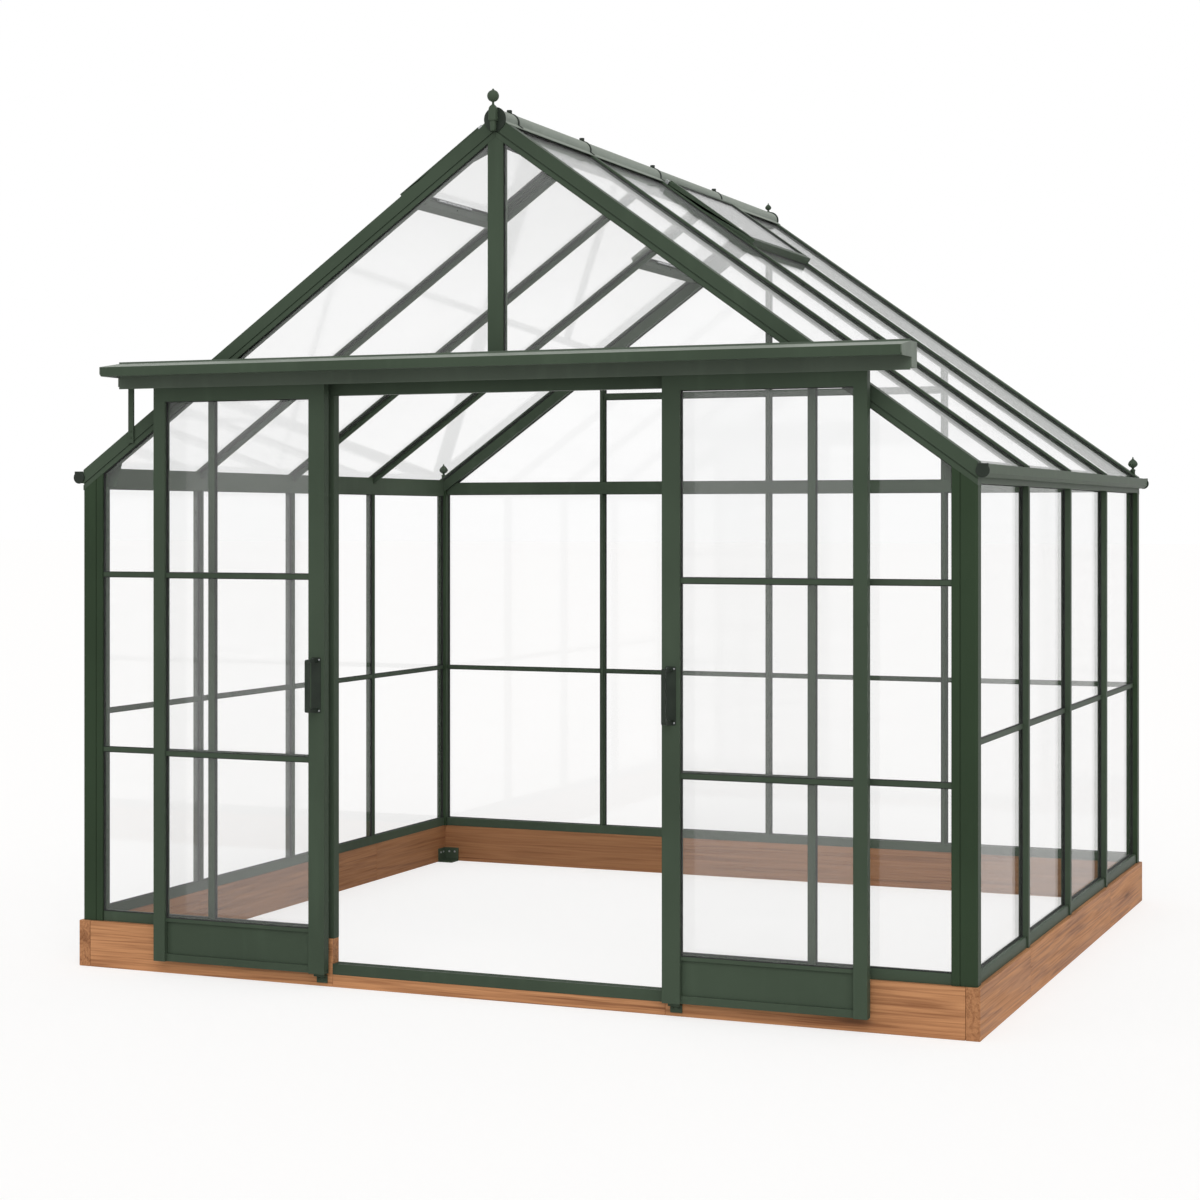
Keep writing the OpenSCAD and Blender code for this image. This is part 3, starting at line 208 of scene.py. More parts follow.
class Socket:
    """An output of a node that plain expressions can use. They add Math nodes."""

    def __init__(self, tree, output):
        self.tree = tree
        self.output = output

    def math(self, operation, first, second=0.0):
        return self.tree.add("ShaderNodeMath", {"operation": operation}, {0: first, 1: second})

    def __add__(self, other):
        return self.math("ADD", self, other)

    def __radd__(self, other):
        return self.math("ADD", other, self)

    def __sub__(self, other):
        return self.math("SUBTRACT", self, other)

    def __rsub__(self, other):
        return self.math("SUBTRACT", other, self)

    def __mul__(self, other):
        return self.math("MULTIPLY", self, other)

    def __pow__(self, other):
        return self.math("POWER", self, other)

    def __abs__(self):
        return self.math("ABSOLUTE", self)

    def wave(self):
        """Sine of the value, from 0 to 1."""
        return self.math("SINE", self) * 0.5 + 0.5

    def largest(self, other):
        return self.math("MAXIMUM", self, other)

    def step(self, low, high):
        """Runs smoothly from 0 at low to 1 at high."""
        settings = {"interpolation_type": "SMOOTHSTEP"}
        return self.tree.add("ShaderNodeMapRange", settings, {"Value": self, 1: low, 2: high})


class Tree:
    """Adds nodes to a shader or geometry tree and links them."""

    def __init__(self, tree):
        self.tree = tree

    def add(self, kind, settings=None, inputs=None, output=0):
        """A node of a kind: its settings first, then the values or links of its sockets."""
        node = self.tree.nodes.new(kind)
        for name, value in (settings or {}).items():
            setattr(node, name, value)
        for key, value in (inputs or {}).items():
            if isinstance(value, Socket):
                self.tree.links.new(value.output, node.inputs[key])
            else:
                node.inputs[key].default_value = value
        return Socket(self, node.outputs[output]) if len(node.outputs) else node


class Surface(Tree):
    """A material under way."""

    def __init__(self, name):
        self.material = bpy.data.materials.new(name)
        self.material.use_nodes = True
        super().__init__(self.material.node_tree)
        self.tree.nodes.clear()
        self.place = self.add("ShaderNodeTexCoord", output="Object")

    def mapped(self, stretch, turn=(0, 0, 0)):
        """Object coordinates, stretched so that a pattern runs finer along the larger numbers."""
        inputs = {"Vector": self.place, "Rotation": turn, "Scale": stretch}
        return self.add("ShaderNodeMapping", None, inputs)

    def noise(self, place, scale, detail=3.0, distortion=0.0):
        inputs = {"Vector": place, "Scale": scale, "Detail": detail, "Distortion": distortion}
        return self.add("ShaderNodeTexNoise", None, inputs)

    def blend(self, amount, first, second):
        """A colour between two colours."""
        inputs = {0: amount, 6: opaque(first), 7: opaque(second)}
        return self.add("ShaderNodeMix", {"data_type": "RGBA"}, inputs, 2)

    def normal(self):
        """The way a face looks, before any bump."""
        return self.add("ShaderNodeTexCoord", output="Normal")

    def part(self, vector, axis):
        """One axis of a vector."""
        return self.add("ShaderNodeSeparateXYZ", None, {0: vector}, axis)

    def bump(self, height, strength, distance):
        inputs = {"Height": height, "Strength": strength, "Distance": distance}
        return self.add("ShaderNodeBump", None, inputs)

    def shader(self, **sockets):
        """The main shader, with its sockets named by words joined with underscores."""
        inputs = {key.replace("_", " ").title(): value for key, value in sockets.items()}
        if "Specular Ior Level" in inputs:
            inputs["Specular IOR Level"] = inputs.pop("Specular Ior Level")
        return self.add("ShaderNodeBsdfPrincipled", None, inputs)

    def output(self, shader):
        self.add("ShaderNodeOutputMaterial", None, {"Surface": shader})
        return self.material

    def finish(self, **sockets):
        return self.output(self.shader(**sockets))


def opaque(color):
    return color if isinstance(color, Socket) else (*color, 1.0)


def scaled(color, amount):
    return tuple(min(1.0, part * amount) for part in color)


# Materials

def coat_material(name, color, bleached):
    """Satin powder coat: fine orange peel, soft changes of tone, and faces that look up paled,
    partly by bleaching and partly by a painted sheen of the bright sky.
    """
    look = bpy.context.scene.greenhouse_coat
    surface = Surface(name)
    clouds = surface.noise(surface.place, 1.7, 4.0)
    streaks = surface.noise(surface.mapped((9, 9, 1.2)), 2.0, 4.0)
    peel = surface.noise(surface.place, 420.0, 2.0)
    specks = surface.noise(surface.place, 60.0, 6.0)
    tone = surface.blend(clouds.step(0.3, 0.7), scaled(color, 0.9), scaled(color, 1.12))
    worn = surface.blend(streaks.step(0.5, 0.85) * 0.25, tone, scaled(color, 1.6))
    upward = surface.part(surface.normal(), "Z")
    # Painted sheen: faces that look up are paled towards the bleached colour, partly bleaching and
    # partly sky light painted in.
    top_bleaching_and_sheen = upward.step(0.1, 0.6) * (specks * 0.3 + 0.85) * bleached
    return surface.finish(
        base_color=surface.blend(top_bleaching_and_sheen, worn, tuple(look.bleach)),
        roughness=clouds * 0.12 + specks * 0.06 + top_bleaching_and_sheen * 0.1 + (look.roughness - 0.09),
        specular_ior_level=0.08,
        normal=surface.bump(peel, 0.12, 0.4 * MM))


def trim_material(name, color):
    """Moulded plastic with a fine grain."""
    surface = Surface(name)
    grain = surface.noise(surface.place, 700.0, 3.0)
    clouds = surface.noise(surface.place, 14.0, 3.0)
    color = surface.blend(clouds.step(0.3, 0.7), tuple(color), scaled(color, 1.5))
    return surface.finish(
        base_color=color,
        roughness=clouds * 0.15 + 0.36,
        specular_ior_level=0.2,
        normal=surface.bump(grain, 0.25, 0.4 * MM))


def timber_material(name, turn):
    """Stained softwood. Its grain runs along X before the turn, and each board has its own. Faces
    inside the house are darkened in patches with painted shade.
    """
    look = bpy.context.scene.greenhouse_timber
    surface = Surface(name)
    board = surface.add("ShaderNodeAttribute", {"attribute_name": "board"}, output="Fac")
    shifts = {0: board * 7.3, 1: board * 3.1, 2: board * 1.7}
    apart = surface.add("ShaderNodeCombineXYZ", None, shifts)
    turned = surface.mapped((1, 1, 1), (0, 0, turn))
    place = surface.add("ShaderNodeVectorMath", {"operation": "ADD"}, {0: turned, 1: apart})

    def stretched(along, across):
        scale = (along, across, across)
        return surface.add("ShaderNodeVectorMath", {"operation": "MULTIPLY"}, {0: place, 1: scale})

    drift = surface.noise(stretched(0.9, 5), 1.0, 3.0)
    bands = surface.noise(stretched(0.5, 16), 1.0, 2.0, 0.6)
    rings = (bands * 38 + drift * 9).wave()
    fibres = surface.noise(stretched(5, 170), 1.0, 4.0)
    pores = surface.noise(stretched(26, 900), 1.0, 2.0)
    cells = {"Vector": stretched(1.15, 7.5), "Scale": 1.0}
    centre = surface.add("ShaderNodeTexVoronoi", {"feature": "F1"}, cells, "Distance")
    knots = 1 - centre.step(0.05, 0.13)
    halo = (1 - centre.step(0.1, 0.34)) * 0.35
    streaks = surface.noise(stretched(1.5, 110), 1.0, 3.0, 0.7)
    lines = fibres.step(0.42, 0.64) * 0.3 + streaks.step(0.5, 0.62) * 0.36
    grain = rings.step(0.4, 0.95) * 0.36 + lines + halo
    wood = surface.blend(grain, tuple(look.light), tuple(look.dark))
    stained = surface.blend(drift.step(0.35, 0.75) * 0.45, wood, scaled(look.light, 1.15))
    knotted = surface.blend(knots * 0.8, stained, scaled(look.dark, 0.35))
    facing = surface.add("ShaderNodeVectorRotate", {"rotation_type": "EULER_XYZ"},
                         {"Vector": surface.normal(), "Rotation": (0, 0, turn)})
    end = abs(surface.part(facing, "X")).step(0.7, 0.9)
    # Painted shade: faces marked as inside the house are darkened in patches.
    inside_shade = surface.add("ShaderNodeAttribute", {"attribute_name": "inside"}, output="Fac")
    ended = surface.blend(end * 0.25, knotted, scaled(look.dark, 0.9))
    color = surface.blend(inside_shade * (0.35 + drift * 0.2), ended, tuple(look.inside_shade))
    height = fibres * 0.6 + pores * 0.25 + rings * 0.3 - knots * 0.5
    return surface.finish(
        base_color=color,
        roughness=0.66 - rings * 0.12 + fibres * 0.08,
        specular_ior_level=0.3,
        normal=surface.bump(height, 0.45, 0.8 * MM))


def glass_material(name, haze):
    """Clear panes that mirror more at a glance, under a thin film that is paler near the ridge and
    has soft patches of painted reflection.
    """
    look = bpy.context.scene.greenhouse_glazing
    surface = Surface(name)
    # Painted reflection: soft patches make the film paler and denser, in place of blurred
    # reflections.
    reflection_patches = surface.noise(surface.place, 0.75, 1.0, 0.6)
    smears = surface.noise(surface.mapped((3, 3, 22)), 1.3, 5.0, 0.4)
    high = surface.part(surface.place, "Z").step(2.3, 2.85)
    tint = surface.blend(reflection_patches.step(0.35, 0.65), tuple(look.tint), scaled(look.tint, 1.12))
    film = surface.shader(
        base_color=surface.blend(high, tint, scaled(look.tint, 1.5)),
        roughness=0.5,
        specular_ior_level=0.0,
        alpha=(reflection_patches.step(0.4, 0.8) * 1.6 + high * 8 + 1) * haze + smears * 0.012)
    shine = surface.add("ShaderNodeBsdfGlossy", None, {
        "Color": opaque((0.93, 0.93, 0.93)), "Roughness": smears * 0.06 + 0.02})
    glance = surface.add("ShaderNodeLayerWeight", None, {"Blend": 0.5}, "Facing")
    mirrored = glance ** 5 * 0.5 + 0.03
    mixed = surface.add("ShaderNodeMixShader", None, {0: mirrored, 1: film, 2: shine})
    return surface.output(mixed)


def steel_material():
    """Plain galvanised steel, brushed along X."""
    look = bpy.context.scene.greenhouse_fixings
    surface = Surface("bare_steel")
    brushed = surface.noise(surface.mapped((8, 500, 500)), 1.0, 3.0)
    spangle = surface.noise(surface.place, 90.0, 2.0)
    color = surface.blend(spangle.step(0.35, 0.7), scaled(look.steel, 0.82), tuple(look.steel))
    return surface.finish(
        base_color=color,
        metallic=1.0,
        roughness=brushed * 0.2 + spangle * 0.1 + 0.22,
        normal=surface.bump(brushed, 0.1, 0.2 * MM))


def rubber_material():
    """Black rubber beads and nylon wheels."""
    surface = Surface("black_rubber")
    clouds = surface.noise(surface.place, 30.0, 4.0)
    grain = surface.noise(surface.place, 500.0, 2.0)
    color = surface.blend(clouds.step(0.3, 0.7), (0.012, 0.013, 0.012), (0.028, 0.03, 0.028))
    return surface.finish(
        base_color=color,
        roughness=clouds * 0.2 + 0.5,
        specular_ior_level=0.3,
        normal=surface.bump(grain, 0.15, 0.3 * MM))


def material(name, make, *choices):
    """The material of that name, made on first use."""
    return bpy.data.materials.get(name) or make(*choices)


# Each powder coat: the setting that holds its colour, and how much its upper faces are paled by
# bleaching and painted sky sheen
COATS = {
    "green_coat": ("color", 0.0),
    "deep_coat": ("deep", 0.0),
    "pale_coat": ("pale", 0.0),
    "header_coat": ("header", 0.0),
    "bleached_coat": ("color", 1.0),
    "ridge_coat": ("ridge", 1.0),
}


def coat(name="green_coat"):
    """One of the powder coats."""
    field, bleached = COATS[name]
    color = getattr(bpy.context.scene.greenhouse_coat, field)
    return material(name, coat_material, name, color, bleached)


def trim(name="dark_moulding", field="trim"):
    """One of the plastics, coloured by a setting."""
    return material(name, trim_material, name, getattr(bpy.context.scene.greenhouse_coat, field))


def steel():
    return material("bare_steel", steel_material)


def rubber():
    return material("black_rubber", rubber_material)


# Meshes

def clean_mesh(node):
    """The mesh of a CAD node with its doubles merged and its flat faces joined."""
    mesh = bmesh.new()
    mesh.from_mesh(NODES[node].data)
    bmesh.ops.remove_doubles(mesh, verts=mesh.verts, dist=0.01 * MM)
    bmesh.ops.dissolve_limit(
        mesh, angle_limit=math.radians(1), verts=mesh.verts, edges=mesh.edges)
    mesh.verts.index_update()
    return mesh


def solids_of(mesh):
    """The vertices of each separate solid of a mesh."""
    seen = set()
    solids = []
    for first in mesh.verts:
        if first.index in seen:
            continue
        seen.add(first.index)
        waiting = [first]
        solid = []
        while waiting:
            vert = waiting.pop()
            solid.append(vert)
            for edge in vert.link_edges:
                other = edge.other_vert(vert)
                if other.index not in seen:
                    seen.add(other.index)
                    waiting.append(other)
        solids.append(solid)
    return solids


def extent(points):
    """Lowest and highest corner of some points."""
    low = Vector([min(point[i] for point in points) for i in range(3)])
    high = Vector([max(point[i] for point in points) for i in range(3)])
    return low, high


def add_piece(name, mesh, body, finish, replaced=()):
    """A new piece from a mesh, riding on a body and standing for the CAD nodes it replaces."""
    if isinstance(mesh, bmesh.types.BMesh):
        data = bpy.data.meshes.new(name)
        mesh.to_mesh(data)
        mesh.free()
    else:
        data = mesh
    data.materials.clear()
    data.materials.append(finish)
    piece = bpy.data.objects.new(name, data)
    bpy.context.scene.collection.objects.link(piece)
    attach(piece, body)
    if replaced:
        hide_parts(*replaced)
    return piece


def soften(piece, radius, segments=2):
    """Rounds the hard edges of a piece and keeps its flat faces flat."""
    mesh = bmesh.new()
    mesh.from_mesh(piece.data)
    for face in mesh.faces:
        face.smooth = True
    for edge in mesh.edges:
        edge.smooth = len(edge.link_faces) == 2
    mesh.to_mesh(piece.data)
    mesh.free()
    bevel = piece.modifiers.new("edges", "BEVEL")
    bevel.limit_method = "ANGLE"
    bevel.angle_limit = HARD_EDGE
    bevel.width = radius
    bevel.segments = segments
    bevel.use_clamp_overlap = False
    normals = piece.modifiers.new("flat_faces", "WEIGHTED_NORMAL")
    normals.keep_sharp = True


def dress(node, finish, radius, segments=2):
    """Puts a finished copy with rounded edges in place of a CAD node."""
    body = NODES[node]["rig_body"]
    piece = add_piece(node + "_finished", clean_mesh(node), body, finish, (node,))
    soften(piece, radius, segments)
    return piece


def join_loops(mesh, loops):
    """Joins each loop of vertices to the next one with faces."""
    for lower, upper in zip(loops, loops[1:]):
        for i in range(len(lower)):
            j = (i + 1) % len(lower)
            mesh.faces.new((lower[i], lower[j], upper[j], upper[i]))


def close_loops(mesh, loops):
    """Joins the loops and closes the first and the last with a face each."""
    join_loops(mesh, loops)
    mesh.faces.new(reversed(loops[0]))
    mesh.faces.new(loops[-1])


def lofted(rings, centre, sides=32):
    """A closed body through level rings, each a height, a half width and how square it is."""
    mesh = bmesh.new()
    loops = []
    for height, half, square in rings:
        loop = []
        for i in range(sides):
            angle = 2 * math.pi * (i + 0.5) / sides
            x, y = math.cos(angle), math.sin(angle)
            reach = half / (abs(x) ** square + abs(y) ** square) ** (1 / square)
            loop.append(mesh.verts.new((centre[0] + x * reach, centre[1] + y * reach, height)))
        loops.append(loop)
    close_loops(mesh, loops)
    bmesh.ops.recalc_face_normals(mesh, faces=mesh.faces)
    return mesh


def ball_rings(centre, radius, low_turn, high_turn, steps=12):
    """Rings of a ball between two angles over its middle, in degrees."""
    rings = []
    for i in range(steps + 1):
        turn = math.radians(low_turn + (high_turn - low_turn) * i / steps)
        rings.append((centre + radius * math.sin(turn), radius * math.cos(turn), ROUND))
    return rings


# Geometry Nodes

def node_group(name, inputs):
    """An empty geometry tree with its named inputs, a geometry first."""
    tree = bpy.data.node_groups.new(name, "GeometryNodeTree")
    sockets = {"Geometry": "NodeSocketGeometry", **inputs}
    for label, kind in sockets.items():
        tree.interface.new_socket(label, in_out="INPUT", socket_type=kind)
    tree.interface.new_socket("Geometry", in_out="OUTPUT", socket_type="NodeSocketGeometry")
    nodes = Tree(tree)
    entry = tree.nodes.new("NodeGroupInput")
    given = {label: Socket(nodes, entry.outputs[label]) for label in sockets}
    return nodes, given


def end_group(nodes, geometry, finish):
    """Ends a tree in plain geometry with its material."""
    whole = nodes.add("GeometryNodeRealizeInstances", None, {0: geometry})
    painted = nodes.add("GeometryNodeSetMaterial", None, {"Geometry": whole, "Material": finish})
    nodes.add("NodeGroupOutput", None, {0: painted})
    return nodes.tree


def scatter_group():
    """Puts a shape on every point, with its top turned to the point's facing."""
    nodes, given = node_group("fixings", {
        "Shape": "NodeSocketObject",
        "Turn": "NodeSocketFloat",
        "Seed": "NodeSocketInt",
        "Finish": "NodeSocketMaterial",
    })
    shape = nodes.add("GeometryNodeObjectInfo", None, {"Object": given["Shape"]}, "Geometry")
    facing = nodes.add("GeometryNodeInputNamedAttribute", {"data_type": "FLOAT_VECTOR"},
                       {"Name": "facing"}, "Attribute")
    upright = nodes.add("FunctionNodeAlignRotationToVector", {"axis": "Z"}, {"Vector": facing})
    random = nodes.add("FunctionNodeRandomValue", {"data_type": "FLOAT"},
                       {2: 0.0, 3: given["Turn"], "Seed": given["Seed"]}, 1)
    twist = nodes.add("FunctionNodeAxisAngleToRotation", None, {"Axis": (0, 0, 1), "Angle": random})
    turned = nodes.add("FunctionNodeRotateRotation", {"rotation_space": "LOCAL"},
                       {"Rotation": upright, "Rotate By": twist})
    placed = nodes.add("GeometryNodeInstanceOnPoints", None, {
        "Points": given["Geometry"], "Instance": shape, "Rotation": turned})
    return end_group(nodes, placed, given["Finish"])


def bead_group():
    """Runs a round bead along the edges of a mesh."""
    nodes, given = node_group("glazing_beads", {
        "Radius": "NodeSocketFloat",
        "Sides": "NodeSocketInt",
        "Finish": "NodeSocketMaterial",
    })
    path = nodes.add("GeometryNodeMeshToCurve", None, {"Mesh": given["Geometry"]})
    section = nodes.add("GeometryNodeCurvePrimitiveCircle", None,
                        {"Resolution": given["Sides"], "Radius": given["Radius"]})
    bead = nodes.add("GeometryNodeCurveToMesh", None, {"Curve": path, "Profile Curve": section})
    return end_group(nodes, bead, given["Finish"])


def grown(name, base, group, values):
    """The plain mesh that a geometry tree makes from a base mesh."""
    holder = bpy.data.objects.new(name + "_base", base)
    bpy.context.scene.collection.objects.link(holder)
    modifier = holder.modifiers.new(group.name, "NODES")
    modifier.node_group = group
    for item in group.interface.items_tree:
        if item.in_out == "INPUT" and item.name in values:
            modifier[item.identifier] = values[item.name]
    graph = bpy.context.evaluated_depsgraph_get()
    mesh = bpy.data.meshes.new_from_object(holder.evaluated_get(graph), depsgraph=graph)
    holder.modifiers.clear()
    bpy.data.objects.remove(holder)
    if not len(mesh.polygons):
        raise RuntimeError(f"the tree {group.name} made nothing for {name}")
    mesh.name = name
    return mesh


def scattered(name, points, body, shape, finish, turn=2 * math.pi):
    """A piece that repeats a shape at points, each a place and the way it faces."""
    base = bpy.data.meshes.new(name + "_points")
    base.from_pydata([place for place, facing in points], [], [])
    facings = base.attributes.new("facing", "FLOAT_VECTOR", "POINT")
    facings.data.foreach_set("vector", [part for place, facing in points for part in facing])
    holder = bpy.data.objects.new(name + "_shape", shape)
    bpy.context.scene.collection.objects.link(holder)
    group = bpy.data.node_groups.get("fixings") or scatter_group()
    seed = bpy.context.scene.greenhouse_fixings.seed
    mesh = grown(name, base, group, {
        "Shape": holder, "Turn": turn, "Seed": seed, "Finish": finish})
    bpy.data.objects.remove(holder)
    return add_piece(name, mesh, body, finish)


# Frame

PROFILES = (
    "sill_rails", "threshold_rail", "front_posts", "back_posts", "back_tie_rail",
    "front_rafters", "back_rafters", "ridge_beam", "roof_bars", "side_wall_bars",
    "back_wall_bars", "thin_rails", "front_bars", "door_jambs", "door_lintel",
    "gable_centre_bar",
)
DOORS = ("door_left", "door_right")
VENTS = ("vent_right", "vent_left_front", "vent_left_back")
EAVES_Z = 1735 * MM
GUSSET_T = 3 * MM
GUSSET_TOP = 24 * MM


def roof_line(x, depth):
    """Height of a line under the roof line, at a depth square to the slope."""
    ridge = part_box("front_rafters")[1]
    fall = (ridge.z - EAVES_Z) / ridge.x
    return ridge.z - abs(x) * fall - depth * math.hypot(1, fall)


def apex_gusset():
    """The plate that joins two rafters under the ridge beam: its outline and bolts in x and z."""
    beam_low, beam_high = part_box("ridge_beam")
    notch = beam_high.x + 2 * MM
    half = 130 * MM
    end_depth, middle_depth, bolt_depth = 50 * MM, 80 * MM, 37 * MM
    right = [
        (notch, beam_low.z - 1 * MM),
        (notch, roof_line(notch, GUSSET_TOP)),
        (half, roof_line(half, GUSSET_TOP)),
        (half, roof_line(half, end_depth)),
    ]
    foot = [(0, roof_line(0, middle_depth))]
    left = [(-x, z) for x, z in reversed(right)]
    bolts = [(x, roof_line(x, bolt_depth)) for x in (-105 * MM, -60 * MM, 60 * MM, 105 * MM)]
    return right + foot + left, bolts


def corner_gusset(side):
    """The plate that joins a rafter to a front post: its outline and bolts in x and z."""
    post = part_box("front_posts")[1].x
    outer, inner, tip = post - 45 * MM, post - 104 * MM, post - 130 * MM
    foot = EAVES_Z - 61 * MM
    tip_depth = 55 * MM
    outline = [
        (outer, foot),
        (outer, roof_line(outer, GUSSET_TOP)),
        (tip, roof_line(tip, GUSSET_TOP)),
        (tip, roof_line(tip, tip_depth)),
        (inner, foot),
    ]
    post_bolt, rafter_bolt = post - 92 * MM, post - 115 * MM
    bolts = [
        (post_bolt, foot + 18 * MM),
        (rafter_bolt, roof_line(rafter_bolt, 42 * MM)),
    ]
    return [(side * x, z) for x, z in outline], [(side * x, z) for x, z in bolts]


def gussets():
    """Every gusset as an outline, its bolts and the end of the house it stands at."""
    return [
        (*apex_gusset(), -1),
        (*apex_gusset(), 1),
        (*corner_gusset(-1), -1),
        (*corner_gusset(1), -1),
    ]


def gusset_y(end, depth=0.0):
    """How far back a gusset stands, or a face at a depth from the rafters."""
    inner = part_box("front_rafters")[1].y
    return (inner + depth) * -end


class GREENHOUSE_OT_profiles(bpy.types.Operator):
    """Gives the posts, rails, rafters and bars their rounded edges and powder coat"""

    bl_idname = "greenhouse.profiles"
    bl_label = "Frame profiles"

    def execute(self, context):
        edge = context.scene.greenhouse_coat.edge
        for node in PROFILES:
            # The posts take the darker coat, partly a deeper green and partly painted shade.
            finish = "deep_coat" if node.endswith("_posts") else "green_coat"
            dress(node, coat(finish), edge)
        self.add_gussets(edge)
        return {"FINISHED"}

    def add_gussets(self, edge):
        """Plates inside the gables, at the ridge and over the front posts."""
        mesh = bmesh.new()
        for outline, bolts, end in gussets():
            sides = gusset_y(end), gusset_y(end, GUSSET_T)
            loops = [[mesh.verts.new((x, y, z)) for x, z in outline] for y in sides]
            close_loops(mesh, loops)
        bmesh.ops.recalc_face_normals(mesh, faces=mesh.faces)
        piece = add_piece("gusset_plates", mesh, "house", coat())
        soften(piece, edge)


class GREENHOUSE_OT_header(bpy.types.Operator):
    """Finishes the header beam, its canopy, strut and end plates"""

    bl_idname = "greenhouse.header"
    bl_label = "Header and canopy"

    def execute(self, context):
        edge = context.scene.greenhouse_coat.edge
        # The header beam takes the lighter coat, painted light against the canopy's shadow.
        dress("header_beam", coat("header_coat"), edge)
        dress("canopy", coat("bleached_coat"), edge * 1.5, 3)
        dress("header_strut", coat(), edge)
        dress("header_end_caps", trim("pale_moulding", "pale_trim"), edge)
        return {"FINISHED"}


class GREENHOUSE_OT_ridge(bpy.types.Operator):
    """Finishes the ridge cap and its end plates, and puts round clips along it"""

    bl_idname = "greenhouse.ridge"
    bl_label = "Ridge"

    def execute(self, context):
        edge = context.scene.greenhouse_coat.edge
        # The ridge cap's pale coat holds a painted reflection of the sky as well as its weathering.
        dress("ridge_cap", coat("ridge_coat"), edge)
        # The ridge end plates take the dark moulding: partly their own dark plastic, partly painted
        # shade on their faces.
        dress("ridge_end_caps", trim(), edge, 3)
        self.repeat_clips(edge)
        return {"FINISHED"}

    def repeat_clips(self, edge):
        """Repeats one rounded clip at the place of each of them."""
        plain = clean_mesh("ridge_clips")
        places = []
        for solid in solids_of(plain):
            low, high = extent([vert.co for vert in solid])
            places.append(Vector((0, (low.y + high.y) / 2, low.z)))
        kept = solids_of(plain)[0]
        spare = [vert for vert in plain.verts if vert not in set(kept)]
        bmesh.ops.delete(plain, geom=spare, context="VERTS")
        bmesh.ops.translate(plain, verts=plain.verts, vec=-places[0])
        hard = [each for each in plain.edges
                if len(each.link_faces) == 2 and each.calc_face_angle() > HARD_EDGE]
        bmesh.ops.bevel(plain, geom=hard, offset=edge, segments=2, affect="EDGES")
        shape = bpy.data.meshes.new("clip")
        plain.to_mesh(shape)
        plain.free()
        clips = scattered("ridge_clips_repeated", [(place, UP) for place in places],
                          "house", shape, trim(), turn=0.0)
        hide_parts("ridge_clips")


# Collar and nut of an acorn: height over its neck and half width, as shares of its half width
ACORN_RINGS = (
    (-0.6, 0.46), (-0.5, 0.56), (-0.35, 0.5), (-0.2, 0.28), (0.0, 0.24),
    (0.12, 0.45), (0.35, 0.78), (0.62, 0.96), (0.85, 1.0), (1.1, 0.93),
    (1.4, 0.74), (1.65, 0.48), (1.85, 0.25), (2.0, 0.15),
)


class GREENHOUSE_OT_finials(bpy.types.Operator):
    """Turns the ball finial over the doors and the three acorns at the back"""

    bl_idname = "greenhouse.finials"
    bl_label = "Finials"

    def execute(self, context):
        self.turn_front_finial()
        self.turn_acorns()
        return {"FINISHED"}

    def turn_front_finial(self):
        """A square foot and block, a shoulder drawn in to a thin neck, and a ball with a nub."""
        low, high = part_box("front_finial")
        foot_half = 9 * MM
        block_half = 12.5 * MM
        neck = 3.5 * MM
        ball = 19.5 * MM
        nub = 4 * MM
        foot_top = low.z + 32 * MM
        block_top = foot_top + 40 * MM
        shoulder_top = block_top + 15 * MM
        ball_z = high.z - nub - ball
        rings = [
            (low.z, foot_half - 3 * MM, 8),
            (low.z + 2 * MM, foot_half - 1.4 * MM, 8),
            (low.z + 5 * MM, foot_half - 1 * MM, 8),
            (foot_top - 4 * MM, foot_half, 8),
            (foot_top, foot_half - 0.8 * MM, 8),
            (foot_top + 1 * MM, block_half - 1.5 * MM, 10),
            (foot_top + 3 * MM, block_half, 10),
            (foot_top + 8 * MM, block_half, 10),
            (block_top, block_half - 0.5 * MM, 9),
            (block_top + 4 * MM, block_half - 1.4 * MM, 8),
            (block_top + 8 * MM, block_half - 3.2 * MM, 6),
            (block_top + 11 * MM, block_half - 5.5 * MM, 4),
            (block_top + 13.5 * MM, block_half - 8 * MM, 3),
            (shoulder_top, neck + 0.6 * MM, ROUND),
            (shoulder_top + 3 * MM, neck, ROUND),
            *ball_rings(ball_z, ball, -78, 80),
            (high.z - 2 * MM, nub, ROUND),
            (high.z, nub / 2, ROUND),
        ]
        mesh = lofted(rings, (0, low.y + ball))
        finial = add_piece("front_finial_turned", mesh, "house",
                           coat("pale_coat"), ("front_finial",))
        finial.data.shade_smooth()

    def turn_acorns(self):
        """An acorn at the back of the ridge and one on each back corner."""
        acorns = bmesh.new()
        plain = clean_mesh("back_finials")
        for solid in solids_of(plain):
            low, high = extent([vert.co for vert in solid])
            centre = (low + high) / 2
            self.add_acorn(acorns, centre, (high.x - low.x) / 2, low.z, high.z)
        plain.free()
        turned = add_piece("back_finials_turned", acorns, "house",
                           coat(), ("back_finials",))
        turned.data.shade_smooth()

    def add_acorn(self, mesh, centre, half, foot, top):
        """Adds a round acorn with a short tip on a slender foot, as wide as the one it replaces."""
        neck_top = top - half * 2.35
        rings = [(foot, half * ACORN_RINGS[0][1], ROUND)]
        rings += [(neck_top + half * rise, half * share, ROUND) for rise, share in ACORN_RINGS]
        rings += [(top - half * 0.15, half * 0.13, ROUND), (top, half * 0.04, ROUND)]
        acorn = lofted(rings, centre, 24)
        data = bpy.data.meshes.new("acorn")
        acorn.to_mesh(data)
        acorn.free()
        mesh.from_mesh(data)
        bpy.data.meshes.remove(data)


class GREENHOUSE_OT_gutters(bpy.types.Operator):
    """Finishes the gutters and their round end caps"""

    bl_idname = "greenhouse.gutters"
    bl_label = "Gutters"

    def execute(self, context):
        edge = context.scene.greenhouse_coat.edge
        dress("eaves_gutters", coat("pale_coat"), edge)
        dress("gutter_end_caps", trim(), edge * 1.5, 3)
        return {"FINISHED"}


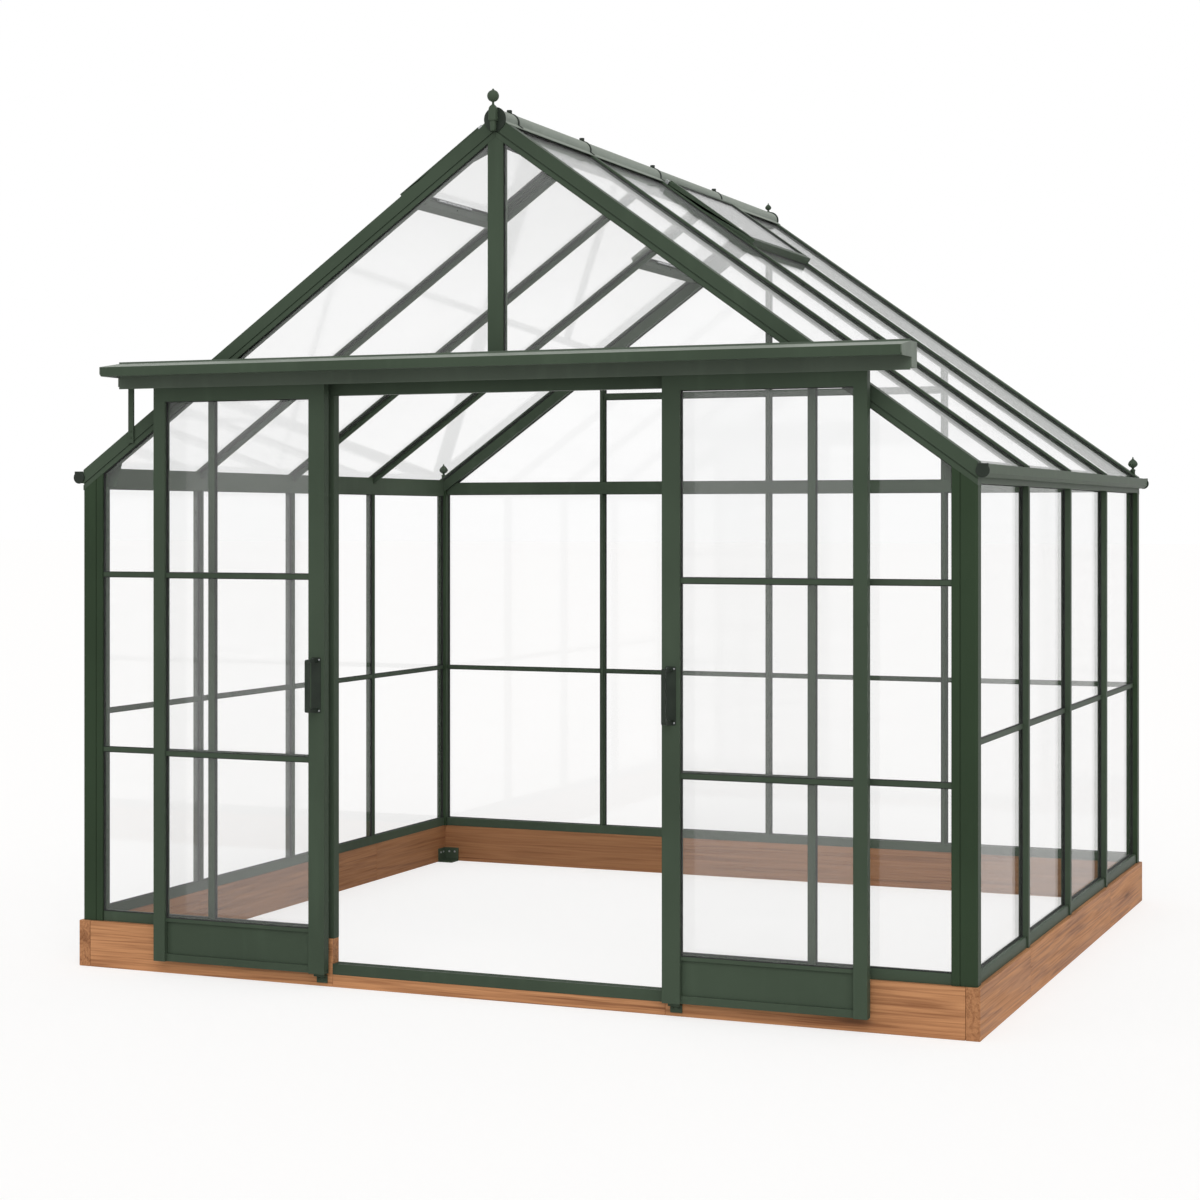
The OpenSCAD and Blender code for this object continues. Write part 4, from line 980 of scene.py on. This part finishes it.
class GREENHOUSE_OT_doors(bpy.types.Operator):
    """Finishes the frames, kick panels, pulls and running gear of the sliding doors"""

    bl_idname = "greenhouse.doors"
    bl_label = "Sliding doors"

    def execute(self, context):
        edge = context.scene.greenhouse_coat.edge
        for door in DOORS:
            dress(door + "_frame", coat(), edge)
            dress(door + "_kick_panel", coat(), edge)
            dress(door + "_pulls", trim(), edge, 3)
            dress(door + "_hangers", steel(), edge / 2)
            for end in ("outer", "inner"):
                dress(f"{door}_wheel_{end}", rubber(), edge / 2)
        dress("door_track", steel(), edge / 2)
        dress("door_guides", coat(), edge / 2)
        return {"FINISHED"}


class GREENHOUSE_OT_vents(bpy.types.Operator):
    """Finishes the frames, stays and hinge rods of the roof vents"""

    bl_idname = "greenhouse.vents"
    bl_label = "Roof vents"

    def execute(self, context):
        edge = context.scene.greenhouse_coat.edge
        for vent in VENTS:
            dress(vent + "_frame", coat(), edge)
            dress(vent + "_stay", steel(), edge / 2)
        dress("vent_hinge_rods", steel(), edge / 2)
        return {"FINISHED"}


class GREENHOUSE_OT_timber_base(bpy.types.Operator):
    """Makes the timber boards, each with its own grain along its length"""

    bl_idname = "greenhouse.timber_base"
    bl_label = "Timber base"

    def execute(self, context):
        edge = context.scene.greenhouse_timber.edge
        anchor_edge = 0.5 * MM
        runs = {"across": 0.0, "along": math.pi / 2}
        for run, turn in runs.items():
            finish = timber_material("timber_" + run, turn)
            mesh = self.boards(run)
            nodes = ("base_boards", "threshold_board") if run == "across" else ()
            piece = add_piece("boards_" + run, mesh, "house", finish, nodes)
            soften(piece, edge, 3)
        dress("corner_anchors", coat(), anchor_edge)
        return {"FINISHED"}

    def boards(self, run):
        """The boards that run across the front and back, or along the sides."""
        whole = bmesh.new()
        for node in ("base_boards", "threshold_board"):
            mesh = clean_mesh(node)
            data = bpy.data.meshes.new(node)
            mesh.to_mesh(data)
            mesh.free()
            whole.from_mesh(data)
            bpy.data.meshes.remove(data)
        whole.verts.index_update()
        layer = whole.verts.layers.float.new("board")
        # Faces that look into the house get a mark, so that the material paints shade on them.
        inside = whole.faces.layers.float.new("inside")
        golden_share = 0.618
        axis = 0 if run == "along" else 1
        other_runs = []
        for number, solid in enumerate(solids_of(whole)):
            low, high = extent([vert.co for vert in solid])
            longest = "across" if high.x - low.x > high.y - low.y else "along"
            if longest != run:
                other_runs += solid
            middle = (low + high) / 2
            for vert in solid:
                vert[layer] = number * golden_share % 1
                for face in vert.link_faces:
                    outward = face.normal[axis] * middle[axis]
                    face[inside] = 1.0 if outward < -0.5 else 0.0
        bmesh.ops.delete(whole, geom=other_runs, context="VERTS")
        return whole


class GREENHOUSE_OT_glass(bpy.types.Operator):
    """Gives every pane its glass"""

    bl_idname = "greenhouse.glass"
    bl_label = "Glass"

    def execute(self, context):
        look = context.scene.greenhouse_glazing
        wall = glass_material("wall_glass", look.wall_haze)
        roof = glass_material("roof_glass", look.roof_haze)
        for name in sorted(NODES):
            if name.endswith("_glass"):
                over = name == "roof_glass" or name.startswith("vent")
                NODES[name].data.materials.clear()
                NODES[name].data.materials.append(roof if over else wall)
        return {"FINISHED"}


def pane_faces(node):
    """The outer and inner face of each pane of a node, as an outline and a normal."""
    mesh = clean_mesh(node)
    found = []
    for solid in solids_of(mesh):
        faces = {face for vert in solid for face in vert.link_faces}
        largest = sorted(faces, key=lambda face: (-face.calc_area(), face.index))[:2]
        for face in largest:
            found.append(([vert.co.copy() for vert in face.verts], face.normal.copy()))
    mesh.free()
    return found


def drawn_in(outline, normal, distance):
    """A flat outline drawn in by a distance, with the move at sharp corners held back."""
    sharpest = 0.2
    corners = []
    for i, point in enumerate(outline):
        before = normal.cross((point - outline[i - 1]).normalized())
        after = normal.cross((outline[(i + 1) % len(outline)] - point).normalized())
        middle = (before + after).normalized()
        corners.append(point + middle * distance / max(middle.dot(after), sharpest))
    return corners


class GREENHOUSE_OT_seals(bpy.types.Operator):
    """Runs a rubber bead round both faces of every pane"""

    bl_idname = "greenhouse.seals"
    bl_label = "Glazing seals"

    def execute(self, context):
        look = context.scene.greenhouse_glazing
        by_body = {}
        for name in sorted(NODES):
            if name.endswith("_glass"):
                by_body.setdefault(NODES[name]["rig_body"], []).extend(pane_faces(name))
        group = bead_group()
        for body, faces in sorted(by_body.items()):
            verts, edges = [], []
            for outline, normal in faces:
                path = drawn_in(outline, normal, look.bite + look.seal_radius * 0.5)
                first = len(verts)
                verts += [point + normal * look.seal_radius * 0.6 for point in path]
                edges += [(first + i, first + (i + 1) % len(path)) for i in range(len(path))]
            base = bpy.data.meshes.new(body + "_seal_lines")
            base.from_pydata(verts, edges, [])
            mesh = grown(body + "_seals", base, group, {
                "Radius": look.seal_radius, "Sides": 8, "Finish": rubber()})
            add_piece(body + "_seals", mesh, body, rubber())
        return {"FINISHED"}


def screw_shape(radius):
    """A domed screw head with a cross recess."""
    mesh = bmesh.new()
    sides = 12
    loops = []
    turns = [2 * math.pi * i / sides for i in range(sides)]
    for height, share in ((0, 1), (0.28, 1), (0.5, 0.8), (0.58, 0.5)):
        reach = share * radius
        loops.append([
            mesh.verts.new((math.cos(turn) * reach, math.sin(turn) * reach, height * radius))
            for turn in turns])
    hollow = []
    for i, turn in enumerate(turns):
        reach = radius * (0.42 if i % 3 == 0 else 0.16)
        place = (math.cos(turn) * reach, math.sin(turn) * reach, radius * 0.3)
        hollow.append(mesh.verts.new(place))
    loops.append(hollow)
    join_loops(mesh, loops)
    mesh.faces.new(hollow)
    data = bpy.data.meshes.new("screw_head")
    mesh.to_mesh(data)
    mesh.free()
    return data


class GREENHOUSE_OT_screws(bpy.types.Operator):
    """Puts screws in the strut, guides, anchors and pulls, and bolts in the gussets"""

    bl_idname = "greenhouse.screws"
    bl_label = "Screws"

    def execute(self, context):
        radius = context.scene.greenhouse_fixings.screw_radius
        painted = self.strut_screws() + self.guide_screws()
        scattered("painted_screws", painted, "house", screw_shape(radius), coat())
        bare = self.anchor_screws() + self.gusset_bolts()
        scattered("bare_screws", bare, "house", screw_shape(radius), steel())
        for door in DOORS:
            points = self.pull_screws(door)
            shape = screw_shape(radius * 0.7)
            scattered(door + "_screws", points, door, shape, steel())
        return {"FINISHED"}

    def strut_screws(self):
        """Two screws in the strut under the header."""
        low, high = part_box("header_strut")
        middle = (low.x + high.x) / 2
        heights = (low.z + 18 * MM, low.z + 40 * MM)
        return [(Vector((middle, low.y, z)), FRONT) for z in heights]

    def guide_screws(self):
        """Two screws in each floor guide."""
        low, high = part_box("door_guides")
        z = low.z + 14 * MM
        plate_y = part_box("threshold_board")[0].y - 4 * MM
        return [(Vector((side * (high.x - inset), plate_y, z)), FRONT)
                for side in (-1, 1) for inset in (9 * MM, 31 * MM)]

    def anchor_screws(self):
        """Two screws in each upright leg of the corner anchors."""
        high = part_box("corner_anchors")[1]
        leg = 5 * MM
        z = high.z - 18 * MM
        points = []
        for side in (-1, 1):
            for end in (-1, 1):
                x, y = side * (high.x - leg), end * (high.y - leg)
                for along in (25 * MM, 52 * MM):
                    points.append((Vector((x, end * (high.y - along), z)), Vector((-side, 0, 0))))
                    points.append((Vector((side * (high.x - along), y, z)), Vector((0, -end, 0))))
        return points

    def gusset_bolts(self):
        """The bolts through the gussets."""
        return [(Vector((x, gusset_y(end, GUSSET_T), z)), FRONT * end)
                for outline, bolts, end in gussets() for x, z in bolts]

    def pull_screws(self, door):
        """Four screws in the plate of each outer pull."""
        low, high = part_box(door + "_pulls")
        leaf_low, leaf_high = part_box(door + "_frame")
        front = leaf_low.y - 2 * MM
        inset = 30 * MM
        centre = leaf_high.x - inset if door == "door_left" else leaf_low.x + inset
        middle = (low.z + high.z) / 2
        across, up = 12 * MM, (high.z - low.z) / 2 - 8 * MM
        return [(Vector((centre + x * across, front, middle + z * up)), FRONT)
                for x in (-1, 1) for z in (-1, 1)]


# Stage

def seen_rays(tree):
    """1 for rays from the camera and for those in reflections and through glass."""
    rays = [tree.add("ShaderNodeLightPath", output=f"Is {kind} Ray")
            for kind in ("Camera", "Glossy", "Transmission")]
    return rays[0].largest(rays[1]).largest(rays[2])


class GREENHOUSE_OT_stage(bpy.types.Operator):
    """Sets up the pale floor, the soft lights and the camera"""

    bl_idname = "greenhouse.stage"
    bl_label = "Stage"

    def execute(self, context):
        look = context.scene.greenhouse_stage
        scene = context.scene
        scene.view_settings.view_transform = "Standard"
        self.make_floor(look.floor)
        self.make_sky(look.sky)
        self.make_lamp(look)
        camera = bpy.data.cameras.new("camera")
        camera.lens = look.lens
        camera.shift_y = look.rise
        camera.clip_end = 200
        holder = bpy.data.objects.new("camera", camera)
        holder.location = look.camera_place
        holder.rotation_euler = (math.pi / 2, 0, look.camera_turn)
        scene.collection.objects.link(holder)
        scene.camera = holder
        return {"FINISHED"}

    def make_floor(self, half):
        """A wide white floor that keeps the shadow of the house."""
        mesh = bmesh.new()
        bmesh.ops.create_grid(mesh, x_segments=1, y_segments=1, size=half)
        data = bpy.data.meshes.new("floor")
        mesh.to_mesh(data)
        mesh.free()
        floor = bpy.data.objects.new("floor", data)
        bpy.context.scene.collection.objects.link(floor)
        surface = Surface("studio_floor")
        seen = seen_rays(surface)
        data.materials.append(surface.finish(
            base_color=surface.blend(seen, (0.82, 0.81, 0.80), (0.42, 0.412, 0.405)),
            roughness=0.9, specular_ior_level=0.0,
            emission_color=surface.blend(seen, (0, 0, 0), (0.65, 0.65, 0.65)),
            emission_strength=1.0))

    def make_sky(self, level):
        """A soft even light, white to the camera and in reflections."""
        world = bpy.data.worlds.new("studio")
        world.use_nodes = True
        world.node_tree.nodes.clear()
        nodes = Tree(world.node_tree)
        color = nodes.add("ShaderNodeMix", {"data_type": "RGBA"}, {
            0: seen_rays(nodes), 6: (level, level, level, 1), 7: (1, 1, 1, 1)}, 2)
        sky = nodes.add("ShaderNodeBackground", None, {"Color": color, "Strength": 1.0})
        nodes.add("ShaderNodeOutputWorld", None, {"Surface": sky})
        bpy.context.scene.world = world

    def make_lamp(self, look):
        """A wide lamp from high in front, a little to the right."""
        lamp = bpy.data.lights.new("wide_lamp", "SUN")
        lamp.energy = look.lamp
        lamp.angle = look.lamp_spread
        holder = bpy.data.objects.new("wide_lamp", lamp)
        holder.rotation_euler = (-Vector(look.lamp_place)).to_track_quat("-Z", "Y").to_euler()
        bpy.context.scene.collection.objects.link(holder)


# Add-on

STEPS = (
    GREENHOUSE_OT_profiles,
    GREENHOUSE_OT_header,
    GREENHOUSE_OT_ridge,
    GREENHOUSE_OT_finials,
    GREENHOUSE_OT_gutters,
    GREENHOUSE_OT_doors,
    GREENHOUSE_OT_vents,
    GREENHOUSE_OT_timber_base,
    GREENHOUSE_OT_glass,
    GREENHOUSE_OT_seals,
    GREENHOUSE_OT_screws,
    GREENHOUSE_OT_stage,
)
SETTINGS = {
    "greenhouse_coat": CoatSettings,
    "greenhouse_timber": TimberSettings,
    "greenhouse_glazing": GlazingSettings,
    "greenhouse_fixings": FixingSettings,
    "greenhouse_stage": StageSettings,
}


class GREENHOUSE_PT_panel(bpy.types.Panel):
    """Lists the steps that dress the greenhouse, with their settings"""

    bl_idname = "GREENHOUSE_PT_panel"
    bl_label = "Greenhouse"
    bl_space_type = "VIEW_3D"
    bl_region_type = "UI"
    bl_category = "Greenhouse"

    def draw(self, context):
        for step in STEPS:
            self.layout.operator(step.bl_idname)
        for name, group in SETTINGS.items():
            box = self.layout.box()
            for field in group.__annotations__:
                box.prop(getattr(context.scene, name), field)


def register():
    for name, group in SETTINGS.items():
        bpy.utils.register_class(group)
        setattr(bpy.types.Scene, name, PointerProperty(type=group))
    for step in (*STEPS, GREENHOUSE_PT_panel):
        bpy.utils.register_class(step)


def unregister():
    for step in (*STEPS, GREENHOUSE_PT_panel):
        bpy.utils.unregister_class(step)
    for name, group in SETTINGS.items():
        delattr(bpy.types.Scene, name)
        bpy.utils.unregister_class(group)


def main():
    """Dresses the greenhouse."""
    register()
    for step in STEPS:
        area, name = step.bl_idname.split(".")
        getattr(getattr(bpy.ops, area), name)()


if __name__ == "__main__":
    main()
